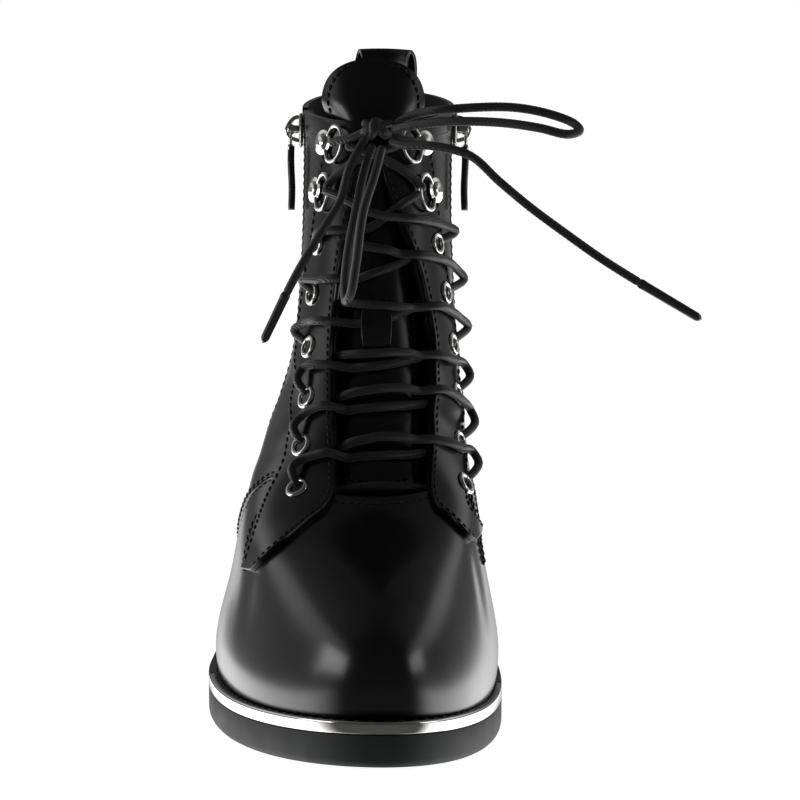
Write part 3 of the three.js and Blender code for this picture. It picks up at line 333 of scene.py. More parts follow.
def sole_point(angle, inset):
    """x and distance from the toe on the sole's outline, inset all round."""
    s = (1 - np.cos(angle)) / 2
    outer = np.sin(angle) >= 0
    along = inset + s * (SOLE_LENGTH - 2 * inset)
    half = half_width(s, ball_half(outer) - inset, HEEL_WIDTH / 2 - inset, np.where(outer, 0.407, 0.341),
                      np.where(outer, 1.2, 1.35), 0.23, 0.25)
    return centre_line(along) + np.where(outer, -half, half), along


def form(ring, angle):
    """Point of the form at a ring, counted up from the feather edge, and an angle, 0 at the toe."""
    ring, angle = np.broadcast_arrays(np.asarray(ring, float), np.asarray(angle, float))
    front, front_up, back, back_up, lateral, medial = np.moveaxis(
        between(np.arange(len(RINGS)), RINGS, ring, RING_SLOPES), -1, 0)
    lat_at, med_at, lat_nose, med_nose, heel, reach, waist = np.moveaxis(
        between(PLAN_RINGS, PLANS, np.minimum(ring, TOP), PLAN_SLOPES), -1, 0)
    s = (1 - np.cos(angle)) / 2
    outer = np.sin(angle) >= 0
    along = lerp(front, back, s) * SOLE_LENGTH
    toe_seat, heel_seat = welt_top(front * SOLE_LENGTH) + GAP, welt_top(back * SOLE_LENGTH) + GAP
    feather_toe = float(welt_top(RINGS[0][0] * SOLE_LENGTH)) + GAP
    feather_heel = float(welt_top(RINGS[0][2] * SOLE_LENGTH)) + GAP
    level = lerp(lerp(feather_toe, COLLAR_HEIGHT, front_up), lerp(feather_heel, COLLAR_HEIGHT, back_up), s)
    sag = welt_top(along) + GAP - lerp(toe_seat, heel_seat, s)
    height = level + sag * (1 - ease(ring / 5))
    widest = np.where(outer, lateral, medial) * ball_half(outer)
    half = half_width(s, widest, heel * HEEL_WIDTH / 2, np.where(outer, lat_at, med_at),
                      np.where(outer, lat_nose, med_nose), reach, waist)
    return np.stack([centre_line(along) + np.where(outer, -half, half), along - SOLE_LENGTH / 2, height], -1)


def unit(v):
    return v / np.maximum(np.linalg.norm(v, axis=-1, keepdims=True), 1e-12)


def form_normal(ring, angle):
    step = 0.01
    up = form(ring + step, angle) - form(np.maximum(ring - step, 0), angle)
    across = form(ring, angle + step) - form(ring, angle - step)
    return unit(np.cross(up, across))


def off_form(ring, angle, out):
    return form(ring, angle) + form_normal(ring, angle) * np.asarray(out, float)[..., None]


def angle_for(ring, distance, back=False):
    """Angle on a ring at a distance from the centre line, to the outer side where it is above 0."""
    ring, distance = np.broadcast_arrays(np.asarray(ring, float), np.asarray(distance, float))
    side = np.where(distance < 0, -1.0, 1.0)
    low = np.full(ring.shape, math.pi if back else 0.0)
    high = np.full(ring.shape, math.pi / 2.2)
    for _ in range(22):
        middle = (low + high) / 2
        inside = np.abs(form(ring, side * middle)[..., 0] - CENTRE_X) < np.abs(distance)
        low, high = np.where(inside, middle, low), np.where(inside, high, middle)
    return side * (low + high) / 2


def place_at(distance, height):
    """Ring and angle on the front of the form at a distance from the centre line and a height."""
    distance, height = np.broadcast_arrays(np.asarray(distance, float), np.asarray(height, float))
    low, high = np.zeros(distance.shape), np.full(distance.shape, TOP + 1.0)
    for _ in range(18):
        middle = (low + high) / 2
        below = form(middle, angle_for(middle, distance))[..., 2] < height
        low, high = np.where(below, middle, low), np.where(below, high, middle)
    ring = (low + high) / 2
    return ring, angle_for(ring, distance)


def angle_along(ring, side, along_at):
    """Angle on a side of a ring where the distance from the toe is along_at(height)."""
    angle = np.full(np.shape(ring), side * math.pi / 2)
    front, back = np.moveaxis(between(np.arange(len(RINGS)), RINGS, ring, RING_SLOPES), -1, 0)[[0, 2]] * SOLE_LENGTH
    for _ in range(8):
        height = form(ring, angle)[..., 2]
        angle = side * np.arccos(np.clip(1 - 2 * (along_at(height) - front) / (back - front), -1, 1))
    return angle


def side_at(side, along, height):
    """Ring and angle on a side at a distance from the toe and a height."""
    along, height = np.broadcast_arrays(np.asarray(along, float), np.asarray(height, float))
    low, high = np.zeros(along.shape), np.full(along.shape, float(TOP))
    for _ in range(18):
        middle = (low + high) / 2
        below = form(middle, angle_along(middle, side, lambda _: along))[..., 2] < height
        low, high = np.where(below, middle, low), np.where(below, high, middle)
    ring = (low + high) / 2
    return ring, angle_along(ring, side, lambda _: along)


def zip_along(height):
    above = np.maximum(height, ZIP_FOOT_HEIGHT) - ZIP_FOOT_HEIGHT
    return lerp(ZIP_FOOT, ZIP_TOP, above / (COLLAR_HEIGHT - ZIP_FOOT_HEIGHT))


def throat_edge(height, side):
    share = np.clip(np.asarray(height) / COLLAR_HEIGHT, THROAT[0][0], THROAT[-1][0])
    return np.interp(share, THROAT[:, 0], THROAT[:, 1 if side > 0 else 2]) * BALL_WIDTH


# Soft troughs and ridges of the leather: side, along, height, half length, half width, depth, tilt.
CREASES = [
    (1, 128, 92, 16, 4.0, 0.8, -0.5), (1, 140, 108, 15, 4.5, 0.6, -0.35), (1, 165, 84, 22, 5, 0.6, 0.25),
    (1, 188, 96, 20, 5, 0.5, 0.2), (1, 208, 112, 16, 5, 0.4, 0.1), (1, 150, 150, 20, 6, 0.35, 1.2),
    (-1, 126, 94, 15, 4.0, 0.8, -0.45), (-1, 142, 110, 16, 4.5, 0.55, -0.3), (-1, 170, 86, 22, 5, 0.6, 0.2),
    (-1, 192, 99, 20, 5, 0.5, 0.15), (-1, 210, 118, 15, 5, 0.4, 0.1), (-1, 156, 155, 24, 6, 0.4, 1.3),
    (1, 74, 48, 14, 5, 0.35, 0.9), (-1, 78, 50, 15, 5, 0.35, 0.85), (1, 210, 160, 18, 8, 0.4, 0.6),
    (-1, 214, 165, 18, 8, 0.4, 0.5),
]


def creases(points):
    """How far the leather sinks at points of the form."""
    depth = np.zeros(points.shape[:-1])
    for side, along, height, length, width, deep, tilt in CREASES:
        u = points[..., 1] + SOLE_LENGTH / 2 - along
        v = points[..., 2] - height
        run = (u * math.cos(tilt) + v * math.sin(tilt)) / length
        across = (v * math.cos(tilt) - u * math.sin(tilt)) / width
        on_side = ease((CENTRE_X - points[..., 0]) * side / 12)
        trough = np.exp(-across**2) - 0.45 * np.exp(-((across - 1.7) ** 2)) - 0.45 * np.exp(-((across + 1.7) ** 2))
        depth += deep * trough * np.exp(-run**2) * on_side
    return depth


def on_leather(ring, angle, out=0.0):
    """A point on the leather's face, creases included, raised by out."""
    base = form(ring, angle)
    return base + form_normal(ring, angle) * (np.asarray(out, float) - creases(base))[..., None]


# Meshes.

def grid_faces(rows, columns, closed=False, keep=None):
    """Quads of a grid of points, in rows; closed joins the last column to the first."""
    r, c = np.meshgrid(np.arange(rows - 1), np.arange(columns if closed else columns - 1), indexing="ij")
    if keep is not None:
        r, c = r[keep], c[keep]
    r, c = r.ravel(), c.ravel()
    d = (c + 1) % columns
    return np.stack([r * columns + c, r * columns + d, (r + 1) * columns + d, (r + 1) * columns + c], -1)


def outward(points, faces, normals):
    """Turns all faces round if they face against the normals given at the points."""
    a, b, d = points[faces[:, 0]], points[faces[:, 1]], points[faces[:, 3]]
    facing = np.einsum("ij,ij->i", np.cross(b - a, d - a), normals[faces[:, 0]]).sum()
    return faces if facing > 0 else faces[:, ::-1]


def piece(name, points, faces, materials, slot=None, body=BOOT, nodes=(), sharp=None):
    """A mesh piece from points in millimetres that rides on a body and stands for frame nodes."""
    mesh = bpy.data.meshes.new(name)
    mesh.from_pydata((np.asarray(points, float).reshape(-1, 3) * MM).tolist(), [], [list(map(int, f)) for f in faces])
    for material in materials:
        mesh.materials.append(material)
    mesh.polygons.foreach_set("use_smooth", [True] * len(mesh.polygons))
    if sharp:
        mesh.set_sharp_from_angle(angle=math.radians(sharp))
    obj = bpy.data.objects.new(name, mesh)
    bpy.context.scene.collection.objects.link(obj)
    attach(obj, body)
    if nodes:
        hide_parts(*nodes)
    return obj


def thicken(obj, thickness, rounding, inner_material=0, segments=3, even=True):
    """Gives a sheet its thickness inwards and rounds its cut edges."""
    solid = obj.modifiers.new("thickness", "SOLIDIFY")
    solid.thickness = thickness * MM
    solid.offset = -1
    solid.use_even_offset = even
    solid.material_offset = inner_material
    edge = obj.modifiers.new("rounded edges", "BEVEL")
    edge.width = rounding * MM
    edge.segments = segments
    edge.limit_method = "ANGLE"
    edge.angle_limit = math.radians(55)
    return obj


def path_through(points, step):
    """A smooth line through points, in steps of one length."""
    p = np.asarray(points, float)
    p = np.vstack([2 * p[0] - p[1], p, 2 * p[-1] - p[-2]])
    line = [p[1][None]]
    t = np.linspace(0, 1, 25)[1:, None]
    for a, b, c, d in zip(p, p[1:], p[2:], p[3:]):
        ka, kb, kc = (np.sqrt(np.linalg.norm(v)) for v in (b - a, c - b, d - c))
        m = ((b - a) / ka - (c - a) / (ka + kb) + (c - b) / kb) * kb
        n = ((c - b) / kb - (d - b) / (kb + kc) + (d - c) / kc) * kb
        line.append(b * (2 * t**3 - 3 * t**2 + 1) + m * (t**3 - 2 * t**2 + t)
                    + c * (3 * t**2 - 2 * t**3) + n * (t**3 - t**2))
    return resample(np.vstack(line), step)


def resample(line, step, whole=True):
    """A polyline in equal steps of about this length."""
    run = np.concatenate([[0], np.cumsum(np.linalg.norm(np.diff(line, axis=0), axis=1))])
    count = max(2, int(round(run[-1] / step)))
    at = np.linspace(0, run[-1], count + 1) if whole else np.arange(0, run[-1], step)
    return np.stack([np.interp(at, run, line[:, i]) for i in range(line.shape[1])], -1)


def path_frames(line):
    """Tangent and two normals along a line, without twist."""
    tangent = unit(np.gradient(line, axis=0))
    side = unit(np.cross(tangent[0], [0.13, 0.31, 0.94]))
    sides = []
    for t in tangent:
        side = unit(side - t * np.dot(side, t))
        sides.append(side)
    sides = np.array(sides)
    return tangent, sides, np.cross(tangent, sides)


def tube(line, radius, sides=12, braid=0.0, flat=1.0, round_ends=True):
    """Points and faces of a round tube along a line; braid gives it a plaited face."""
    line = np.asarray(line, float)
    radius = np.broadcast_to(np.asarray(radius, float), (len(line),))
    _, n, b = path_frames(line)
    run = np.concatenate([[0], np.cumsum(np.linalg.norm(np.diff(line, axis=0), axis=1))])
    phi = np.arange(sides) * 2 * math.pi / sides
    wave = np.sin(4 * phi[None] + run[:, None] * 1.9) * np.sin(4 * phi[None] - run[:, None] * 1.9)
    r = radius[:, None] * (1 + braid * wave)
    if round_ends:
        cap = radius.max()
        end = np.minimum(run, run[-1] - run)
        r = r * np.sqrt(np.clip(1 - (1 - np.minimum(end / cap, 1)) ** 2, 0.05, 1))[:, None]
    ring = n[:, None] * (np.cos(phi)[None] * r)[..., None] + b[:, None] * (np.sin(phi)[None] * r * flat)[..., None]
    points = (line[:, None] + ring).reshape(-1, 3)
    faces = grid_faces(len(line), sides, closed=True).tolist()
    faces += [list(range(sides))[::-1], list(range(len(points) - sides, len(points)))]
    return points, faces


def joined(parts):
    """Points and faces of several parts as one."""
    points, faces, start = [], [], 0
    for p, f in parts:
        points.append(np.asarray(p, float).reshape(-1, 3))
        faces += [[int(i) + start for i in q] for q in f]
        start += len(points[-1])
    return np.vstack(points), faces


def faces_outward(mesh):
    """Turns the faces of a closed mesh outward."""
    bm = bmesh.new()
    bm.from_mesh(mesh)
    bmesh.ops.recalc_face_normals(bm, faces=bm.faces)
    bm.to_mesh(mesh)
    bm.free()


def round_block(low, high, rounding, segments=2):
    """Points and faces of a block with rounded edges, in its own X, Y and Z."""
    low, high = np.array(low, float), np.array(high, float)
    bm = bmesh.new()
    bmesh.ops.create_cube(bm, size=1, matrix=Matrix.LocRotScale(
        Vector((low + high) / 2), None, Vector(high - low)))
    bmesh.ops.bevel(bm, geom=list(bm.edges), offset=rounding, segments=segments, profile=0.5, affect="EDGES")
    points = np.array([v.co[:] for v in bm.verts])
    faces = [[v.index for v in f.verts] for f in bm.faces]
    bm.free()
    return points, faces


def lathe(profile, sides=28):
    """Points and faces of a ring turned round Z from (radius, height) pairs that close on themselves."""
    profile = np.array(profile, float)
    phi = np.arange(sides) * 2 * math.pi / sides
    points = np.stack([profile[:, 0][None] * np.cos(phi)[:, None], profile[:, 0][None] * np.sin(phi)[:, None],
                       np.broadcast_to(profile[:, 1][None], (sides, len(profile)))], -1)
    n = len(profile)
    faces = [[i * n + j, ((i + 1) % sides) * n + j, ((i + 1) % sides) * n + (j + 1) % n, i * n + (j + 1) % n]
             for i in range(sides) for j in range(n)]
    return points.reshape(-1, 3), faces


def placed(part, at):
    """A part moved into a frame of point, across, up and out."""
    point, across, up, out = at
    points, faces = part
    return np.asarray(points) @ np.array([across, up, out]) + point, faces


def stitches(line, normals, length=None, radius=0.32, pitch=None):
    """Points and faces of stitches pressed into a face along a line."""
    length = length or settings().stitch_length / MM
    pitch = pitch or settings().stitch_pitch / MM
    both = resample(np.hstack([line, normals]), pitch)
    middle = (both[1:, :3] + both[:-1, :3]) / 2
    along = unit(both[1:, :3] - both[:-1, :3])
    out = unit((both[1:, 3:] + both[:-1, 3:]) / 2)
    across = np.cross(along, out)
    share = np.array([-0.5, -0.36, 0, 0.36, 0.5])
    thick = np.array([0.25, 0.85, 1.0, 0.85, 0.25]) * radius
    arch = np.array([-0.30, -0.02, 0.08, -0.02, -0.30])
    phi = np.arange(6) * math.pi / 3
    local = np.stack([np.broadcast_to((share * length)[:, None], (5, 6)), thick[:, None] * np.cos(phi)[None],
                      thick[:, None] * np.sin(phi)[None] + arch[:, None]], -1).reshape(-1, 3)
    points = middle[:, None] + local[None, :, :1] * along[:, None] + local[None, :, 1:2] * across[:, None] \
        + local[None, :, 2:] * out[:, None]
    one = np.array(grid_faces(5, 6, closed=True))
    faces = (one[None] + 30 * np.arange(len(middle))[:, None, None]).reshape(-1, 4).tolist()
    for i in range(len(middle)):
        faces += [[30 * i + j for j in range(5, -1, -1)], [30 * i + 24 + j for j in range(6)]]
    return points.reshape(-1, 3), faces


def seam(ring, angle, out, **kind):
    """Stitches along rings and angles of the form."""
    return stitches(on_leather(ring, angle, out), form_normal(ring, angle), **kind)


# Finishes.

def finish(name, color, roughness, metallic=0.0, coat=0.0, bumps=(), mottle=0.0, rough_swing=0.0, sheen=0.0,
           specular=0.5):
    """A material with bumps of (texture, scale, height in millimetres, strength) over its faces."""
    material = bpy.data.materials.get(name)
    if material:
        return material
    material = bpy.data.materials.new(name)
    material.use_nodes = True
    tree = material.node_tree
    shader = tree.nodes["Principled BSDF"]
    shader.inputs["Base Color"].default_value = (*color, 1)
    shader.inputs["Roughness"].default_value = roughness
    shader.inputs["Metallic"].default_value = metallic
    shader.inputs["Coat Weight"].default_value = coat
    shader.inputs["Coat Roughness"].default_value = 0.22
    shader.inputs["Sheen Weight"].default_value = sheen
    shader.inputs["Specular IOR Level"].default_value = specular
    place = tree.nodes.new("ShaderNodeTexCoord").outputs["Object"]

    def texture(kind, scale):
        if kind == "cells":
            node = tree.nodes.new("ShaderNodeTexVoronoi")
            node.feature = "SMOOTH_F1"
            node.inputs["Smoothness"].default_value = 0.6
            out = node.outputs["Distance"]
        elif kind == "weave":
            node = tree.nodes.new("ShaderNodeTexWave")
            node.bands_direction = "DIAGONAL"
            node.inputs["Distortion"].default_value = 0.4
            out = node.outputs["Fac"]
        elif kind == "ribs":
            node = tree.nodes.new("ShaderNodeTexWave")
            node.bands_direction = "Z"
            out = node.outputs["Fac"]
        else:
            node = tree.nodes.new("ShaderNodeTexNoise")
            node.inputs["Detail"].default_value = 4
            out = node.outputs["Fac"]
        node.inputs["Scale"].default_value = scale
        tree.links.new(place, node.inputs["Vector"])
        return out

    below = None
    for kind, scale, height, strength in bumps:
        bump = tree.nodes.new("ShaderNodeBump")
        bump.inputs["Strength"].default_value = strength
        bump.inputs["Distance"].default_value = height * MM
        tree.links.new(texture(kind, scale), bump.inputs["Height"])
        if below:
            tree.links.new(below, bump.inputs["Normal"])
        below = bump.outputs["Normal"]
    if below:
        tree.links.new(below, shader.inputs["Normal"])
    if mottle:
        ramp = tree.nodes.new("ShaderNodeValToRGB")
        ramp.color_ramp.elements[0].position = 0.3
        ramp.color_ramp.elements[1].position = 0.7
        ramp.color_ramp.elements[0].color = (*[c * (1 - mottle) for c in color], 1)
        ramp.color_ramp.elements[1].color = (*[min(c * (1 + mottle), 1) for c in color], 1)
        tree.links.new(texture("noise", 45), ramp.inputs["Fac"])
        tree.links.new(ramp.outputs["Color"], shader.inputs["Base Color"])
    if rough_swing:
        spread = tree.nodes.new("ShaderNodeMapRange")
        spread.inputs["To Min"].default_value = roughness - rough_swing
        spread.inputs["To Max"].default_value = roughness + rough_swing
        tree.links.new(texture("noise", 120), spread.inputs["Value"])
        tree.links.new(spread.outputs["Result"], shader.inputs["Roughness"])
    return material


def leather():
    s = settings()
    return finish("smooth leather", s.leather_color, s.leather_roughness, coat=0.3, mottle=0.12, rough_swing=0.04,
                  bumps=[("noise", 38, 0.5, 0.12), ("cells", 1300, 0.05, 0.18), ("noise", 2600, 0.03, 0.12)])


def lining():
    return finish("lining leather", settings().lining_color, 0.75, mottle=0.15, sheen=0.1,
                  bumps=[("cells", 1500, 0.08, 0.3)])


def rubber():
    return finish("speckled rubber", settings().rubber_color, 0.62, mottle=0.1, rough_swing=0.08,
                  bumps=[("noise", 1500, 0.12, 0.35), ("noise", 260, 0.1, 0.2)])


def welt_black():
    return finish("welt leather", (0.006, 0.006, 0.0065), 0.35, mottle=0.1, bumps=[("noise", 900, 0.06, 0.2)], coat=0.2)


def bright_metal():
    return finish("polished metal", settings().metal_color, 0.12, metallic=1.0, rough_swing=0.05,
                  bumps=[("noise", 300, 0.04, 0.08)])


def dark_metal():
    return finish("black tip", (0.012, 0.012, 0.013), 0.3, metallic=0.0, coat=0.5, rough_swing=0.05,
                  bumps=[("noise", 500, 0.05, 0.1)])


def webbing():
    return finish("woven tape", (0.006, 0.006, 0.0065), 0.8, mottle=0.2, sheen=0.15,
                  bumps=[("weave", 900, 0.15, 0.6), ("ribs", 700, 0.12, 0.5)])


def lace_cord():
    return finish("waxed lace", (0.009, 0.0095, 0.0095), 0.36, mottle=0.3, rough_swing=0.12, sheen=0.12,
                  bumps=[("weave", 800, 0.22, 0.7), ("noise", 1500, 0.12, 0.5)])


def thread():
    return finish("stitching", (0.009, 0.009, 0.0095), 0.55, bumps=[("weave", 2500, 0.06, 0.4)])


# The stage.

def area_light(name, at, towards, width, depth, watts):
    light = bpy.data.lights.new(name, "AREA")
    light.shape = "RECTANGLE"
    light.size, light.size_y = width, depth
    light.energy = watts * settings().light_strength
    obj = bpy.data.objects.new(name, light)
    bpy.context.scene.collection.objects.link(obj)
    obj.location = at
    obj.rotation_euler = (Vector(towards) - Vector(at)).to_track_quat("-Z", "Y").to_euler()
    return obj


class BOOT_OT_stage(bpy.types.Operator):
    """Makes the camera, the floor and the studio light"""
    bl_idname = "boot.stage"
    bl_label = "Stage"

    def execute(self, context):
        scene, s = context.scene, settings()
        target = Vector(CAMERA_TARGET)
        data = bpy.data.cameras.new("camera")
        data.lens = CAMERA_LENS
        data.sensor_width = SENSOR_WIDTH
        data.clip_end = 50
        camera = bpy.data.objects.new("camera", data)
        scene.collection.objects.link(camera)
        back = Vector((0, -math.cos(s.camera_elevation), math.sin(s.camera_elevation)))
        camera.location = target + back * s.camera_distance
        camera.rotation_euler = (-back).to_track_quat("-Z", "Y").to_euler()
        scene.camera = camera

        world = bpy.data.worlds.new("studio")
        scene.world = world
        world.use_nodes = True
        tree = world.node_tree
        tree.nodes.clear()
        output = tree.nodes.new("ShaderNodeOutputWorld")
        mix = tree.nodes.new("ShaderNodeMixShader")
        seen = tree.nodes.new("ShaderNodeBackground")
        seen.inputs["Color"].default_value = (1, 1, 1, 1)
        light = tree.nodes.new("ShaderNodeBackground")
        way = tree.nodes.new("ShaderNodeSeparateXYZ")
        tree.links.new(tree.nodes.new("ShaderNodeTexCoord").outputs["Generated"], way.inputs["Vector"])

        def spread(value, low, high, start, end):
            node = tree.nodes.new("ShaderNodeMapRange")
            node.interpolation_type = "SMOOTHSTEP"
            tree.links.new(value, node.inputs["Value"])
            for socket, number in zip(("From Min", "From Max", "To Min", "To Max"), (low, high, start, end)):
                node.inputs[socket].default_value = number
            return node.outputs["Result"]

        def combined(operation, a, b):
            node = tree.nodes.new("ShaderNodeMath")
            node.operation = operation
            tree.links.new(a, node.inputs[0])
            tree.links.new(b, node.inputs[1])
            return node.outputs["Value"]

        across = tree.nodes.new("ShaderNodeMath")
        across.operation = "ABSOLUTE"
        tree.links.new(way.outputs["X"], across.inputs[0])
        sides = combined("MULTIPLY", spread(across.outputs["Value"], 0.1, 0.7, 0.2, 1.0),
                         spread(way.outputs["Y"], -0.35, 0.2, 0.0, s.light_strength))
        below = spread(way.outputs["Z"], -0.11, -0.07, FLOOR_GLOW, 0.0)
        panel = combined("MULTIPLY", spread(way.outputs["Z"], 0.15, 0.32, HORIZON_GLOW, SIDE_GLOW),
                         spread(way.outputs["Z"], 0.4, 0.6, 1.0, 0.15))
        behind = combined("MULTIPLY", sides, combined("ADD", below, panel))
        tree.links.new(combined("ADD", behind, spread(way.outputs["Z"], -0.3, 0.2, FRONT_GLOW, FRONT_GLOW / 2)),
                       light.inputs["Strength"])
        path = tree.nodes.new("ShaderNodeLightPath")
        tree.links.new(path.outputs["Is Camera Ray"], mix.inputs["Fac"])
        tree.links.new(light.outputs[0], mix.inputs[1])
        tree.links.new(seen.outputs[0], mix.inputs[2])
        tree.links.new(mix.outputs[0], output.inputs["Surface"])

        corners = ((-1, -1), (1, -1), (1, 1), (-1, 1))
        mesh = bpy.data.meshes.new("floor")
        mesh.from_pydata([(x * FLOOR_REACH, y * FLOOR_REACH, -FLOOR_DROP) for x, y in corners], [], [(0, 1, 2, 3)])
        paper = finish("paper", (0.9, 0.9, 0.9), 0.8)
        paper.node_tree.nodes["Principled BSDF"].inputs["Emission Color"].default_value = (1, 1, 1, 1)
        paper.node_tree.nodes["Principled BSDF"].inputs["Emission Strength"].default_value = 0.95
        mesh.materials.append(paper)
        floor = bpy.data.objects.new("floor", mesh)
        scene.collection.objects.link(floor)
        floor.visible_glossy = False
        area_light("left", (-1.05, -0.17, 0.25), (0, -0.08, 0.06), 0.5, 0.26, 1.3)
        area_light("right", (1.05, -0.2, 0.27), (0, -0.08, 0.06), 0.44, 0.26, 0.7)
        scene.view_settings.view_transform = "Standard"
        return {"FINISHED"}


# Laces.

def lace_radius():
    return settings().lace_diameter / MM / 2


class BOOT_OT_free_lace(bpy.types.Operator):
    """Makes the bow: two loops, two ends with their tips, and the knot"""
    bl_idname = "boot.free_lace"
    bl_label = "Bow and ends"

    def execute(self, context):
        radius = lace_radius()
        for name, points, tip in (
                ("lace_loop_right", LOOP_RIGHT, None), ("lace_loop_down", LOOP_DOWN, None),
                ("lace_end_right", END_RIGHT, END_RIGHT_TIP), ("lace_end_left", END_LEFT, END_LEFT_TIP)):
            line = path_through(points, 0.7)
            cord = piece(name, *tube(line, radius, 16, braid=0.055), [lace_cord()], "lace", nodes=[name])
            if tip is not None:
                tip_name = name.replace("lace_end", "aglet")
                way = unit(np.array(tip) - line[-1])
                run = np.linalg.norm(np.array(tip) - line[-1])
                at = np.linspace(-1.5, run, 26)[:, None]
                thick = np.interp(at[:, 0], [-1.5, -1.2, 0.3, 1.2, run - 2, run], [1.45, 1.7, 1.75, 1.62, 1.5, 1.1])
                aglet = piece(tip_name, *tube(line[-1] + way * at, thick, 18), [dark_metal()], "dark_metal",
                              nodes=[tip_name])
        self.knot(radius)
        return {"FINISHED"}

    def knot(self, radius):
        """Two wraps over the crossing of the lace."""
        centre = np.array(KNOT)
        turn = np.linspace(0, 2 * math.pi, 61)[:-1, None]
        parts = []
        for lean, width, shift in ((0.35, 2.9, -1.2), (-0.55, 2.7, 1.5)):
            plane = np.array([math.sin(lean), 0, math.cos(lean)])
            ring = centre + np.cos(turn) * plane * 2.6 + np.sin(turn) * np.array([0, 1, 0]) * width
            ring = ring + np.array([shift, 0, 0]) + np.sin(2 * turn) * np.array([0.5, 0, 0])
            parts.append(tube(np.vstack([ring, ring[:2]]), radius * 0.98, 14, braid=0.05, round_ends=False))
        for points in ([(2.2, 4.6, 193.6), (4.6, 2.6, 194.6), (7.5, 2.4, 195.6), (10.4, 3.2, 196.4), (12.8, 4.8, 197)],
                       [(2.4, 5.2, 196.9), (5, 3.6, 196.4), (8, 3.0, 194.4), (10.6, 3.2, 193.4), (12.6, 4.4, 192.8)]):
            parts.append(tube(path_through(points, 0.6), radius, 14, braid=0.05))
        piece("lace_knot", *joined(parts), [lace_cord()], "lace", nodes=["lace_knot"])


class BOOT_OT_lacing(bpy.types.Operator):
    """Runs the lace through the holes and hooks, over one facing and under the other"""
    bl_idname = "boot.lacing"
    bl_label = "Lacing"

    @staticmethod
    def spot(row, side):
        up, lateral, medial = LACE_ROWS[row]
        distance = (lateral if side > 0 else medial) * BALL_WIDTH - (HOOK_REACH * 0.62 if row >= HOOK_ROW else 0)
        return np.array([side * distance, up * COLLAR_HEIGHT])

    def strand(self, row, side, radius):
        start, end = self.spot(row, side), self.spot(row + 1, -side)
        shares = [(0.0, 0.0), *STRANDS[row, side], (1.0, 1.0)]
        flat = path_through([(*lerp(start, end, np.array(share)), 0) for share in shares], 1.5)[:, :2]
        ring, angle = place_at(flat[:, 0], flat[:, 1])
        own = throat_edge(flat[:, 1], side) - side * flat[:, 0]
        far = throat_edge(flat[:, 1], -side) + side * flat[:, 0]
        hooked, to_hook = row >= HOOK_ROW, row + 1 >= HOOK_ROW
        tongue = tongue_face(ring) + radius + 0.4
        tongue = tongue + (2 * radius * 0.8 if side < 0 else 0) * ease(np.minimum(own, far) / 6)
        over = FACE + radius + 0.2
        closed = ease((9 - throat_edge(flat[:, 1], side)) / 4)
        middle = lerp(tongue, over + (radius if side < 0 else 0), closed)
        out = lerp(over, middle, ease((own + 1.5) / 4.5))
        under = tongue_face(ring) + radius
        far_out = over + (0.8 if side < 0 else 0) if to_hook else under
        out = lerp(out, far_out, ease((0.8 - far) / 4))
        run = np.concatenate([[0], np.cumsum(np.linalg.norm(np.diff(flat, axis=0), axis=1))])
        if hooked:
            out = out + 1.6 * (1 - ease(run / 6))
        else:
            out = lerp(-1.5, out + 1.5 * (1 - ease((run - 4) / 6)), ease((run + 0.6) / 3.2))
        if to_hook:
            out = out + 1.8 * (1 - ease((run[-1] - run) / 6))
        return path_through(off_form(ring, angle, out)[::3], 0.75)

    def execute(self, context):
        radius = lace_radius()
        parts = []
        for row, side in STRANDS:
            parts.append(tube(self.strand(row, side, radius), radius, 14, braid=0.055))
        ends = [self.spot(0, 1), self.spot(0, -1)]
        flat = path_through([(*lerp(ends[0], ends[1], t), 0) + np.array([0, 4.5 * math.sin(math.pi * t), 0])
                             for t in np.linspace(0.02, 0.98, 9)], 1.5)
        ring, angle = place_at(flat[:, 0], flat[:, 1])
        bar = path_through(off_form(ring, angle, tongue_face(ring) + radius)[::3], 0.75)
        parts.append(tube(bar, radius, 14, braid=0.055))
        for side, lift in ((1, 0), (-1, 0.6)):
            start = self.spot(7, side)
            ring, angle = place_at(start[0], start[1])
            hook = off_form(ring, angle, FACE + radius + 2 + lift)
            aim = np.array(KNOT) + np.array([-side * 3.2, 0.6, -0.8])
            middle = (hook + aim) / 2 + np.array([0, -0.8, -0.6])
            bar = path_through([hook + np.array([-side * 1.5, 1.2, -1.5]), hook, middle, aim], 0.75)
            parts.append(tube(bar, radius, 14, braid=0.055))
        points, faces = joined(parts)
        piece("lace_crossings", points, faces, [lace_cord()], "lace", nodes=["lace_crossings"])
        return {"FINISHED"}


# The upper.

def ring_near(height_of, height, low=0.0, high=float(TOP)):
    """Ring at which height_of(ring) reaches a height."""
    for _ in range(30):
        middle = (low + high) / 2
        if float(height_of(middle)) < height:
            low = middle
        else:
            high = middle
    return (low + high) / 2


VAMP_EDGE = THROAT[0][0] * COLLAR_HEIGHT
VAMP_RING = ring_near(lambda r: form(r, 0.0)[2], VAMP_EDGE)
TONGUE_LOW = ring_near(lambda r: form(r, 0.0)[2], VAMP_EDGE - TONGUE_LAP)
TONGUE_TOP = ring_near(lambda r: form(r, 0.0)[2], float(form(TOP, 0.0)[2]) + TONGUE_RISE, 0, TOP + 3)
ZIP_RING = {side: ring_near(lambda r: form(r, angle_along(np.array(r), side, zip_along))[2], ZIP_FOOT_HEIGHT)
            for side in (1, -1)}


def tongue_face(ring):
    return -(UPPER_WALL + 2 * GAP + TONGUE_DROP * ease((ring - VAMP_RING) / 0.6 + 0.6))


